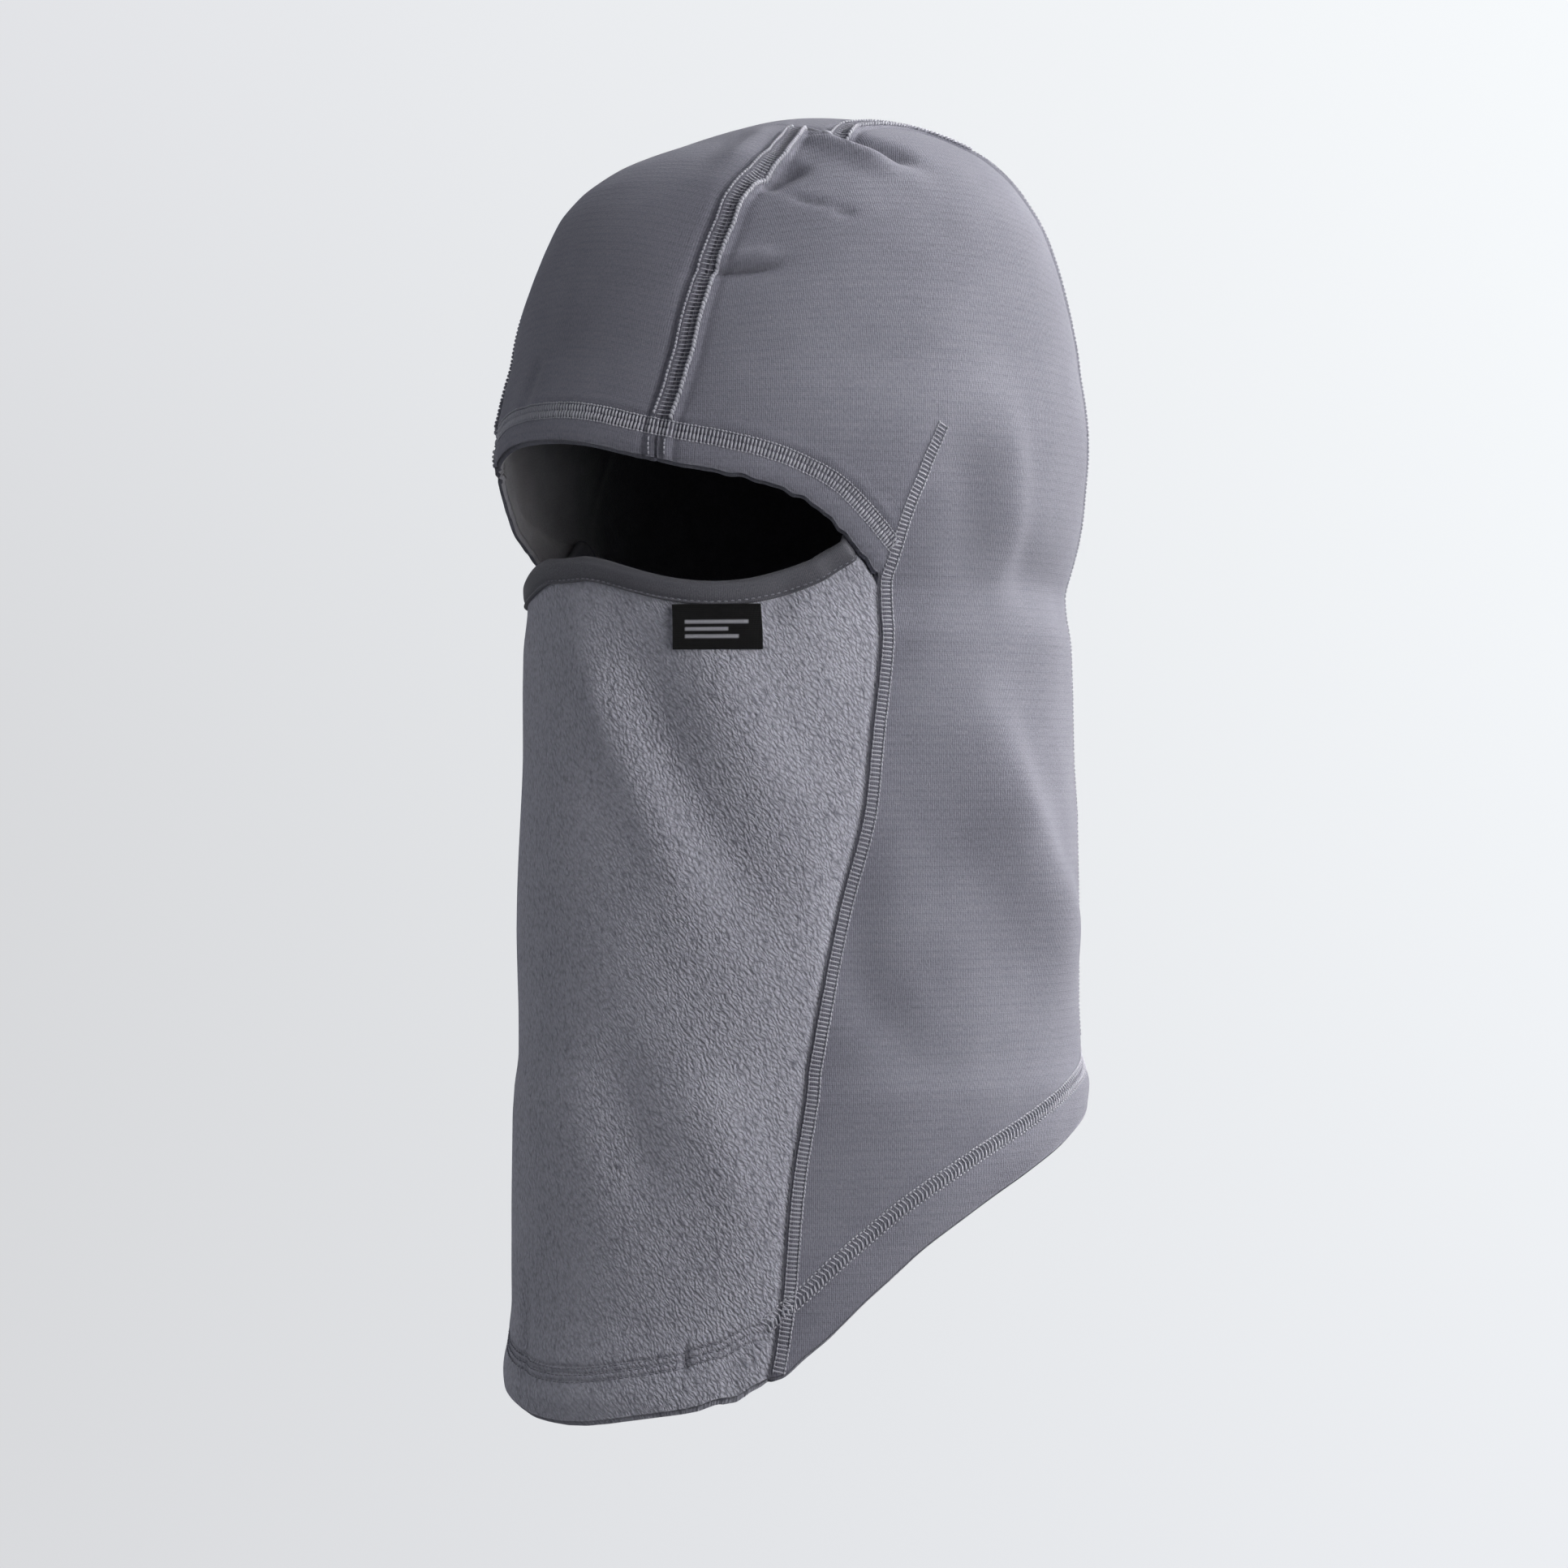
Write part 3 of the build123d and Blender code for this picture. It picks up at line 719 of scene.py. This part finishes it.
def tubes(paths, radius, sides=6):
    """Round threads along paths of equal length: (threads, points, 3)."""
    radius = np.broadcast_to(radius, paths.shape[:2])
    t = unit(np.gradient(paths, axis=1))
    u = unit(np.cross(t, unit(normal(paths[:, len(paths[0]) // 2]))[:, None] + 1e-4))
    v = np.cross(t, u)
    n, m, _ = paths.shape
    turn = np.linspace(0, 2 * math.pi, sides, endpoint=False)
    ring = paths[:, :, None] + radius[..., None, None] * (
        u[:, :, None] * np.cos(turn)[:, None] + v[:, :, None] * np.sin(turn)[:, None])
    points = np.concatenate([ring.reshape(-1, 3), paths[:, 0], paths[:, -1]])
    k = np.arange(sides)
    a, b = np.meshgrid(np.arange(n), np.arange(m - 1), indexing="ij")
    first = ((a * m + b) * sides).reshape(-1, 1)
    nxt = np.roll(k, -1)
    quads = np.stack([first + k, first + nxt, first + sides + nxt, first + sides + k],
                     axis=-1).reshape(-1, 4)
    start = (np.arange(n) * m * sides)[:, None]
    end = start + (m - 1) * sides
    near = n * m * sides + np.arange(n)[:, None] + 0 * k
    far = near + n
    caps = np.concatenate([np.stack([start + nxt, start + k, near], axis=-1).reshape(-1, 3),
                           np.stack([end + k, end + nxt, far], axis=-1).reshape(-1, 3)])
    return points, quads, caps


def thread_mesh(name, sets):
    """One mesh from several sets of tubes."""
    points, corners, starts = [], [], []
    first_point = first_corner = 0
    for p, quads, caps in sets:
        for faces in (quads, caps):
            starts.append(first_corner + np.arange(len(faces)) * faces.shape[1])
            corners.append((faces + first_point).ravel())
            first_corner += faces.size
        points.append(p)
        first_point += len(p)
    return mesh_object(name, np.concatenate(points), np.concatenate(corners),
                       np.concatenate(starts))


def sewn(line, pitch, shape, start, end, tucked):
    """Copies of one stitch, given as (along, across, height), laid along a line."""
    s = lengths(line)
    end = s[-1] if end is None else end
    at = np.arange(start + pitch / 2, end - pitch / 2, pitch)
    at = at + chance.uniform(-UNEVEN, UNEVEN, len(at)) * pitch
    shape = np.array(shape, float)
    along = at[:, None] + shape[:, 0]

    def point(q):
        return np.stack([np.interp(q, s, line[:, k]) for k in range(3)], axis=-1)

    base = point(along)
    t = unit(point(along + 0.7) - point(along - 0.7))
    wobble = chance.uniform(-UNEVEN, UNEVEN, (len(at), 1))
    left = unit(np.cross(normal(base), t))
    q = on_form(base + left * (shape[:, 1] + wobble)[..., None])
    rise = relief(q) + shape[:, 2] - (tuck(q) if tucked else 0)
    return q + normal(q) * rise[..., None]


def row(line, pitch, shape, thin, fat, start=0.0, end=None, tucked=False):
    """One row of a stitch, in thread that is thin at its ends and fat in its middle."""
    swell = thin + (fat - thin) * np.sin(np.linspace(0, math.pi, len(shape))) ** 0.6
    return tubes(sewn(line, pitch, shape, start, end, tucked), swell)


def arch(w0, w1, high, slant=0.0):
    """A stitch across the line from w0 to w1 that rises out of the cloth."""
    return [(slant * (k - 0.5), w0 + (w1 - w0) * k, high * math.sin(math.pi * k) ** 0.5 - 0.12
             if 0 < k < 1 else -0.25) for k in np.linspace(0, 1, 7)]


def dash(w, length, high, lean=0.0):
    """A stitch along the line, w to the side of it."""
    return [(length * k, w + lean * k, high * math.cos(math.pi * k) ** 0.5 - 0.1
             if abs(k) < 0.5 else -0.2) for k in np.linspace(-0.5, 0.5, 6)]


def beside(edge, distance, above=True):
    """The parallel to an edge that lies above its middle or below it, with even steps."""
    t = unit(np.gradient(edge, axis=0))
    across = unit(np.cross(normal(edge), t)) * distance
    if (across[len(edge) // 2, 2] > 0) != above:
        across = -across
    p = edge + across
    even = np.hanning(17) / np.hanning(17).sum()
    inner = np.stack([np.convolve(p[:, k], even, "valid") for k in range(3)], axis=1)
    return evenly(on_form(np.concatenate([p[:1], inner, p[-1:]])))


def brow_hem():
    """Cover stitch over the eyes: upright bars in two parts between two dotted lines."""
    line = beside(evenly(brow_round), BROW_ROW)
    return thread_mesh("brow_hem_stitches", [
        row(line, BROW_PITCH, arch(-2.1, 0.1, 0.5), 0.22, 0.4),
        row(line, BROW_PITCH, arch(0.1, 2.0, 0.46), 0.2, 0.36),
        row(line, BROW_PITCH, dash(2.35, 0.8, 0.35), 0.14, 0.27),
        row(line, BROW_PITCH, dash(-2.35, 0.8, 0.35), 0.14, 0.27)])


def crown_seam(s):
    """Flat seam beside the centre strip, open where the crown's fold is and low behind."""
    line = SEAM[s]
    at = lengths(line)
    folded = at[np.abs(np.gradient(line[:, 0])) > 0.75]
    behind = 215
    made = []
    for first, last, high in ((12.5, folded.min(), 1.0), (folded.max(), behind, 0.8),
                              (behind, at[-1] - 18.5, 0.3)):
        fat = 0.4 + 0.6 * high
        for shape, thin, thick in ((dash(2.8 * s, 0.85, 0.6 * high), 0.2, 0.42),
                                   (dash(-2.5 * s, 1.25, 0.75 * high, 0.9 * s), 0.24, 0.62),
                                   (arch(2.2 * s, -1.9 * s, 0.3 * high, 0.8), 0.17, 0.17)):
            made.append(row(line, SEAM_PITCH, shape, thin * fat, thick * fat, first, last))
    for across in (2.4, -2.4):
        made.append(row(line, SEAM_PITCH, dash(across * s, 0.8, 0.35), 0.14, 0.26, 1.0, 7.0))
    return thread_mesh(SIDES[s] + "_crown_stitches", made)


def side_seam(s):
    """The seam between hood and fleece, with the dart above it."""
    line = evenly(on_side(np.concatenate([dart[:-1], JOIN]), s))
    end = lengths(line)[-1] - 1.0
    return thread_mesh(SIDES[s] + "_side_stitches", [
        row(line, SEAM_PITCH, arch(0.7 * s, 4.2 * s, 0.38), 0.16, 0.3, 0, end),
        row(line, SEAM_PITCH, dash(4.3 * s, 1.15, 0.5), 0.16, 0.32, 0, end),
        row(line, SEAM_PITCH, dash(1.0 * s, 1.0, 0.4), 0.14, 0.27, 0, end)])


def hood_hem():
    """Cover stitch round the hood's lower hem."""
    line = beside(evenly(hood_round), HOOD_ROW)
    return thread_mesh("hood_hem_stitches", [
        row(line, HOOD_PITCH, arch(0.2, 2.3, 0.5, 1.1), 0.18, 0.34),
        row(line, HOOD_PITCH, arch(-1.8, 0.2, 0.42, -0.9), 0.17, 0.3),
        row(line, HOOD_PITCH, dash(-2.2, 1.2, 0.45), 0.16, 0.3),
        row(line, HOOD_PITCH, dash(2.45, 0.9, 0.4), 0.14, 0.26)])


def face_hem():
    """Sunk rows round the fleece's hem."""
    edge = evenly(face_round)
    return thread_mesh("face_hem_stitches", [
        row(beside(edge, away), ROW_PITCH, dash(0, 1.4, 0.35), 0.12, 0.22)
        for away in FACE_ROWS])


def binding_row():
    """One row along the binding's foot."""
    rim = evenly(turn_points(rim_round[:, 0], rim_round[:, 1]))
    line = beside(rim, BINDING_ROW, above=False)
    return thread_mesh("binding_stitches", [
        row(line, ROW_PITCH, dash(0, 1.4, 0.85), 0.12, 0.22, tucked=True)])


threads = {"brow_hem_thread": brow_hem(),
           "left_crown_seam_thread": crown_seam(1), "right_crown_seam_thread": crown_seam(-1),
           "left_side_seam_thread": side_seam(1), "right_side_seam_thread": side_seam(-1),
           "hood_hem_thread": hood_hem(), "face_hem_thread": face_hem(),
           "binding_thread": binding_row()}


# ---- labels -----------------------------------------------------------------
def flat_label(name, wide, tall, thick, place, bars_at):
    """A thin woven label with thinned edges and raised bars: (U, U, V, V) of each bar."""
    m, n = int(tall / 0.25) + 1, int(wide / 0.25) + 1
    u, v = np.meshgrid(np.linspace(-wide / 2, wide / 2, n), np.linspace(0, -tall, m))
    mid, up = place(u, v)
    bars = np.zeros_like(u)
    for u0, u1, v0, v1 in bars_at:
        bars = np.maximum(bars, between(u, u0, u1, 0.15) * between(v, v0, v1, 0.15))
    edge = np.minimum.reduce([u + wide / 2, wide / 2 - u, -v, v + tall])
    round_off = np.sqrt(np.clip(1 - (1 - np.clip(edge / 0.35, 0, 1)) ** 2, 0.02, 1))
    front = mid + up * (thick / 2 * round_off + 0.1 * bars)[..., None]
    back = mid - up * (thick / 2 * round_off)[..., None]
    i, j = border(m, n)
    a = i * n + j
    around = np.stack([a, a + m * n, np.roll(a, -1) + m * n, np.roll(a, -1)], axis=1)
    faces = np.concatenate([grid_faces(m, n)[:, ::-1], grid_faces(m, n, m * n), around])
    weave = np.concatenate([np.stack([u, v, bars], -1).reshape(-1, 3),
                            np.stack([u, v, 0 * u], -1).reshape(-1, 3)])
    points = np.concatenate([front.reshape(-1, 3), back.reshape(-1, 3)])
    return mesh_object(name, points, faces.ravel(), np.arange(len(faces)) * 4, weave=weave)


CHEEK_TURN, CHEEK_TOP, CHEEK_RADIUS = -52.2, -48.3, 84.5
CARE_Y, CARE_TOP, CARE_TALL = 90.0, -160, 26


def cheek_place(u, v):
    """Points and normals of the cheek label, which lies flat over the cloth's relief."""
    base = turn_points(CHEEK_TURN + np.degrees(u / CHEEK_RADIUS), CHEEK_TOP + v)
    around, down = np.meshgrid(CHEEK_TURN + np.linspace(-9, 9, 7), np.linspace(-61, -49, 5))
    flat = relief(turn_points(around, down)).max()
    up = normal(base)
    return base + up * (flat + 0.5), up


def care_place(u, v):
    """Points and normals of the care label, which hangs inside the back."""
    bend = 0.4 * np.cos(u / 7) * (-v / CARE_TALL)
    mid = np.stack([u, CARE_Y + bend, CARE_TOP + v], axis=-1)
    return mid, np.broadcast_to(np.array([0.0, -1.0, 0.0]), mid.shape)


label = flat_label("cheek_woven_label", 27.0, 13.5, 0.6, cheek_place,
                   [(-9.5, 9.5, -6.0, -5.0), (-9.5, 3.5, -8.1, -7.1), (-9.5, 6.5, -10.2, -9.2)])
care = flat_label("care_woven_label", 24.0, CARE_TALL, 0.4, care_place,
                  [(-9, 9, v - 1.0, v) for v in range(-5, -21, -3)])


# ---- materials --------------------------------------------------------------
def linear(r, g, b):
    return tuple((c / 255 / 12.92 if c <= 10 else ((c / 255 + 0.055) / 1.055) ** 2.4)
                 for c in (r, g, b)) + (1.0,)


class Nodes:
    """A short way to wire shader nodes."""

    def __init__(self, name):
        self.material = bpy.data.materials.new(name)
        self.material.use_nodes = True
        self.tree = self.material.node_tree
        self.tree.nodes.clear()

    def node(self, kind, *values, **named):
        """A new node, with values or links for its first sockets and for named ones."""
        made = self.tree.nodes.new("ShaderNode" + kind)
        sockets = list(zip(made.inputs, values))
        sockets += [(made.inputs[name.replace("_", " ")], value) for name, value in named.items()]
        for socket, value in sockets:
            if isinstance(value, bpy.types.NodeSocket):
                self.tree.links.new(value, socket)
            else:
                socket.default_value = value
        return made

    def math(self, kind, *values, clamp=False):
        made = self.node("Math", *values)
        made.operation = kind
        made.use_clamp = clamp
        return made.outputs[0]

    def blend(self, *shares, plus=0.0):
        """The sum of values, each times its own share, and a constant."""
        for value, share in shares:
            plus = self.math("MULTIPLY_ADD", value, share, plus)
        return plus

    def wave(self, value, pitch):
        return self.math("SINE", self.math("MULTIPLY", value, 2 * math.pi / pitch))

    def parts(self, vector):
        return self.node("SeparateXYZ", vector).outputs

    def scaled(self, vector, x, y, z):
        made = self.node("VectorMath", vector, (x, y, z))
        made.operation = "MULTIPLY"
        return made.outputs[0]

    def noise(self, vector, scale, detail=2.0, rough=0.5):
        return self.node("TexNoise", Vector=vector, Scale=scale, Detail=detail,
                         Roughness=rough).outputs["Fac"]

    def cells(self, vector, scale):
        return self.node("TexVoronoi", Vector=vector, Scale=scale).outputs["Distance"]

    def ramp(self, value, *stops, curve="LINEAR"):
        made = self.node("ValToRGB", value)
        made.color_ramp.interpolation = curve
        elements = made.color_ramp.elements
        while len(elements) < len(stops):
            elements.new(0.5)
        for element, (at, color) in zip(elements, stops):
            element.position = at
            element.color = color
        return made.outputs[0]

    def mix(self, factor, a, b):
        made = self.node("Mix")
        made.data_type = "RGBA"
        for socket, value in ((0, factor), (6, a), (7, b)):
            if isinstance(value, tuple):
                made.inputs[socket].default_value = value
            else:
                self.tree.links.new(value, made.inputs[socket])
        return made.outputs[2]

    def bump(self, height, distance):
        return self.node("Bump", Strength=1.0, Distance=distance, Height=height).outputs[0]

    def shown(self, shader):
        """The material, once this shader is what it shows."""
        self.node("OutputMaterial", shader.outputs[0])
        return self.material


class Cloth(Nodes):
    """Shader nodes that also have the weave's flat coordinates, and its third value: the painted
    shade on cloth, or a label's bars.
    """

    def __init__(self, name):
        super().__init__(name)
        attribute = self.node("Attribute")
        attribute.attribute_name = "weave"
        self.weave = attribute.outputs["Vector"]
        self.u, self.v, self.marks = self.parts(self.weave)
        self.place = self.node("TexCoord").outputs["Object"]

    def finish(self, color, normal, rough, sheen, sheen_rough, specular, tint=(1, 1, 1, 1)):
        return self.shown(self.node(
            "BsdfPrincipled", Base_Color=color, Roughness=rough, Normal=normal,
            Specular_IOR_Level=specular, Sheen_Weight=sheen, Sheen_Roughness=sheen_rough,
            Sheen_Tint=tint))


SHEEN = linear(225, 226, 240)


def shell_knit():
    """Fine ribs and loops, with a faint row of the grid inside every 2.8 mm, and painted shade under
    stitches, along seams and in creases.
    """
    n = Cloth("shell_knit")
    sway = n.noise(n.weave, 0.05, 1)
    rib = n.wave(n.blend((n.u, 1.0), (sway, 1.6)), 0.63)
    loop = n.wave(n.v, 0.55)
    grid = n.math("POWER", n.math("ABSOLUTE", n.wave(n.v, 2 * 2.8)), 0.35)
    speck = n.noise(n.scaled(n.weave, 1, 0.45, 1), 1.9, 3, 0.7)
    slow = n.noise(n.place, 22, 3, 0.6)
    broken = n.noise(n.scaled(n.weave, 0.12, 0.8, 1), 1.0, 2)
    height = n.blend((rib, 0.25), (loop, 0.08), (grid, 0.5), (speck, 2.2))
    tone = n.blend((speck, 0.6), (slow, 0.35), (rib, 0.05), (n.math("MULTIPLY", grid, broken), 0.12))
    color = n.ramp(tone, (0.25, linear(92, 92, 103)), (0.5, linear(124, 124, 136)),
                   (0.78, linear(150, 150, 161)))
    # painted shade: the colour goes towards dark grey where the painted shade mask is high
    color = n.mix(n.math("MULTIPLY", n.marks, 0.8), color, linear(44, 44, 50))
    return n.finish(color, n.bump(height, 0.00012), 0.82, 0.25, 0.45, 0.25, SHEEN)


def brushed_inside():
    """Brushed knit with painted light: paler towards the front, where the most light comes in, and
    painted shade deeper inside.
    """
    n = Cloth("brushed_inside")
    fuzz = n.noise(n.weave, 1.4, 4, 0.7)
    lumps = n.noise(n.place, 120, 3, 0.6)
    tone = n.blend((fuzz, 0.5), (lumps, 0.5))
    painted_deep_shade = n.ramp(tone, (0.3, linear(40, 39, 44)), (0.7, linear(70, 69, 76)))
    painted_front_light = n.ramp(tone, (0.3, linear(180, 179, 188)), (0.7, linear(215, 214, 223)))
    # painted light and shade: the pale tone near the front openings, the dark one deeper inside
    front = n.math("MULTIPLY_ADD", n.parts(n.place)[1], -13.0, -0.2, clamp=True)
    height = n.blend((fuzz, 1.0), (lumps, 1.0))
    return n.finish(n.mix(front, painted_deep_shade, painted_front_light), n.bump(height, 0.0004), 0.95, 0.5, 0.6, 0.1)


def face_fleece():
    """Short curls and pebbles, pulled a little slantwise, with painted shade along the join, in the
    hem's sunk rows and in creases.
    """
    n = Cloth("face_fleece")
    bend = n.noise(n.weave, 0.25, 2)
    slanted = n.node("CombineXYZ", n.blend((n.u, 1.0), (bend, 2.5), (n.v, 0.4)),
                     n.math("MULTIPLY", n.v, 0.7)).outputs[0]
    curls = n.noise(slanted, 1.8, 2.0, 0.55)
    pebbles = n.cells(slanted, 1.05)
    fine = n.noise(n.weave, 4.5, 2, 0.6)
    slow = n.noise(n.place, 30, 2, 0.6)
    height = n.blend((curls, 0.6), (pebbles, -1.1), (fine, 0.25), plus=0.7)
    color = n.ramp(n.blend((height, 0.75), (slow, 0.25)), (0.1, linear(142, 142, 154)),
                   (0.35, linear(169, 169, 181)), (0.75, linear(193, 193, 205)))
    # painted shade: the colour goes towards dark grey where the painted shade mask is high
    color = n.mix(n.math("MULTIPLY", n.marks, 0.8), color, linear(60, 60, 67))
    return n.finish(color, n.bump(height, 0.00075), 0.9, 0.4, 0.5, 0.1, SHEEN)


def thread_yarn(name, dark, light):
    n = Cloth(name)
    twist = n.noise(n.place, 2600, 2, 0.6)
    slow = n.noise(n.place, 60, 2)
    color = n.ramp(n.blend((twist, 0.6), (slow, 0.4)), (0.3, dark), (0.7, light))
    return n.finish(color, n.bump(twist, 0.0001), 0.7, 0.2, 0.4, 0.35)


def binding_knit():
    n = Cloth("binding_knit")
    rib = n.wave(n.u, 0.5)
    fine = n.noise(n.weave, 2.2, 3, 0.6)
    color = n.ramp(n.blend((fine, 1.0), (rib, 0.06)), (0.3, linear(84, 84, 91)),
                   (0.7, linear(108, 108, 116)))
    return n.finish(color, n.bump(n.blend((rib, 0.3), (fine, 1.0)), 0.00012), 0.7, 0.2, 0.4, 0.3)


def label_weave(name, dark, light, pattern, rough):
    """Plain weave between two tones, with the raised bars in the pattern's colour."""
    n = Cloth(name)
    ground = n.ramp(n.noise(n.weave, 3.0, 2), (0.3, dark), (0.7, light))
    height = n.blend((n.wave(n.u, 0.32), 0.5), (n.wave(n.v, 0.4), 0.5), (n.marks, 0.8))
    color = n.mix(n.marks, ground, pattern)
    return n.finish(color, n.bump(height, 0.00008), rough, 0.1, 0.4, 0.35)


hood_knit = shell_knit()
inside = brushed_inside()
fleece = face_fleece()
yarn = thread_yarn("sewing_thread", linear(158, 158, 169), linear(204, 204, 214))
soft_yarn = thread_yarn("fleece_thread", linear(120, 120, 131), linear(160, 160, 171))
bind = binding_knit()
black = label_weave("label_black", linear(5, 5, 7), linear(10, 10, 12), linear(176, 176, 184), 0.85)
white = label_weave("care_white", linear(222, 222, 224), linear(238, 238, 240),
                    linear(120, 120, 126), 0.5)


def dressed(piece, body, slot, node, *materials):
    for material in materials:
        piece.data.materials.append(material)
    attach(piece, body)
    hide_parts(node)


dressed(gusset, "hood", "shell_knit", "crown_gusset", hood_knit, inside)
for s, side in SIDES.items():
    dressed(sides[s], "hood", "shell_knit", side + "_side_panel", hood_knit, inside)
dressed(face, "hood", "face_fleece", "face_panel", fleece, inside)
dressed(strip, "hood", "binding_knit", "eye_binding", bind)
for node, piece in threads.items():
    dressed(piece, "hood", "thread", node,
            soft_yarn if node in ("face_hem_thread", "binding_thread") else yarn)
dressed(label, "cheek_flap", "label_black", "cheek_label", black)
dressed(care, "care_flap", "care_white", "care_label", white)

# ---- backdrop, light and camera, in metres ------------------------------------
VIEW_TURN = math.radians(50)
UP = np.array([0.0, 0.0, 1.0])
toward = np.array([math.sin(VIEW_TURN), -math.cos(VIEW_TURN), 0.0])
rightward = np.array([math.cos(VIEW_TURN), math.sin(VIEW_TURN), 0.0])
MIDDLE = -0.1
CAMERA_HIGH, CAMERA_AWAY, CAMERA_SHIFT = -0.1015, 1.55, 0.0032
BACKDROP_BEHIND, BACKDROP_SIZE = 2.0, 1.29
ROOM_AWAY, ROOM_SIDE, FLOOR_LOW, CEILING_HIGH, FLOOR_SIDE = 6, 12, -3, 5, 17


def wall(name, centre, along, up, size, left, right):
    """A square board that glows; left and right are its edges' tones at foot, middle and top."""
    corners = [centre + (along * a + up * b) * size / 2
               for a, b in ((-1, -1), (1, -1), (1, 1), (-1, 1))]
    mesh = bpy.data.meshes.new(name)
    mesh.from_pydata([tuple(c) for c in corners], [], [(0, 1, 2, 3)])
    layer = mesh.uv_layers.new(name="UVMap")
    for loop, uv in zip(layer.data, [(0, 0), (1, 0), (1, 1), (0, 1)]):
        loop.uv = uv
    made = bpy.data.objects.new(name, mesh)
    bpy.context.scene.collection.objects.link(made)
    n = Nodes(name)
    uv = n.node("UVMap")
    uv.uv_map = "UVMap"
    x, y, _ = n.parts(uv.outputs[0])
    edges = [n.ramp(y, *zip((0, 0.5, 1), tones), curve="B_SPLINE") for tones in (left, right)]
    mesh.materials.append(n.shown(n.node("Emission", n.mix(x, *edges))))
    return made


# the backdrop glows with a painted gradient of light, darker on the left and lightest at the top
# right
wall("backdrop", -toward * BACKDROP_BEHIND + UP * CAMERA_HIGH, rightward, UP, BACKDROP_SIZE,
     [linear(218, 219, 222), linear(210, 211, 213), linear(229, 230, 234)],
     [linear(235, 237, 241), linear(245, 248, 251), linear(250, 253, 255)])

# a pale room that only the camera sees, for the views from other sides
PALE = [linear(228, 230, 234)] * 3
room = []
for quarter in range(4):
    out = np.array([math.cos(quarter * math.pi / 2), math.sin(quarter * math.pi / 2), 0.0])
    room.append(wall(f"room_side_{quarter}", out * ROOM_AWAY, np.cross(UP, out), UP, ROOM_SIDE,
                     PALE, PALE))
for name, high in (("floor", FLOOR_LOW), ("ceiling", CEILING_HIGH)):
    room.append(wall(name, UP * high, rightward, -toward, FLOOR_SIDE, PALE, PALE))
for board in room:
    board.visible_diffuse = board.visible_glossy = board.visible_shadow = False


def area_light(name, right, front, high, size, power, color):
    """A soft light that faces the object's middle, placed as the camera sees it."""
    light = bpy.data.lights.new(name, "AREA")
    light.shape = "RECTANGLE"
    light.size, light.size_y = size
    light.energy = power
    light.color = color
    made = bpy.data.objects.new(name, light)
    bpy.context.scene.collection.objects.link(made)
    made.location = rightward * right + toward * front + UP * (high + MIDDLE)
    made.visible_camera = False
    aim = Vector((0, 0, MIDDLE)) - made.location
    made.rotation_euler = aim.to_track_quat("-Z", "Y").to_euler()


area_light("key", 1.45, -0.7, 0.95, (1.2, 1.2), 49, (1.0, 0.985, 0.95))
area_light("fill", 1.05, 1.2, 0.2, (1.0, 1.0), 16, (1.0, 0.99, 0.98))
area_light("left", -1.7, -0.4, 0.3, (0.8, 1.2), 7, (0.97, 0.98, 1.0))
area_light("rim", 1.25, -1.5, 0.1, (0.8, 1.6), 11, (1.0, 0.985, 0.96))
area_light("top", 0.8, 0.1, 1.5, (1.2, 1.0), 8, (0.99, 0.99, 1.0))
world = bpy.data.worlds.new("soft_air")
world.use_nodes = True
world.node_tree.nodes["Background"].inputs[0].default_value = (0.86, 0.88, 0.92, 1)
world.node_tree.nodes["Background"].inputs[1].default_value = 0.155
bpy.context.scene.world = world

camera_data = bpy.data.cameras.new("camera")
camera_data.lens = 114.1
camera_data.sensor_width = 36
camera_data.clip_end = 50
camera = bpy.data.objects.new("camera", camera_data)
bpy.context.scene.collection.objects.link(camera)
camera.location = toward * CAMERA_AWAY - rightward * CAMERA_SHIFT + UP * CAMERA_HIGH
camera.rotation_euler = (math.pi / 2, 0, VIEW_TURN)
bpy.context.scene.camera = camera
bpy.context.scene.view_settings.view_transform = "Standard"
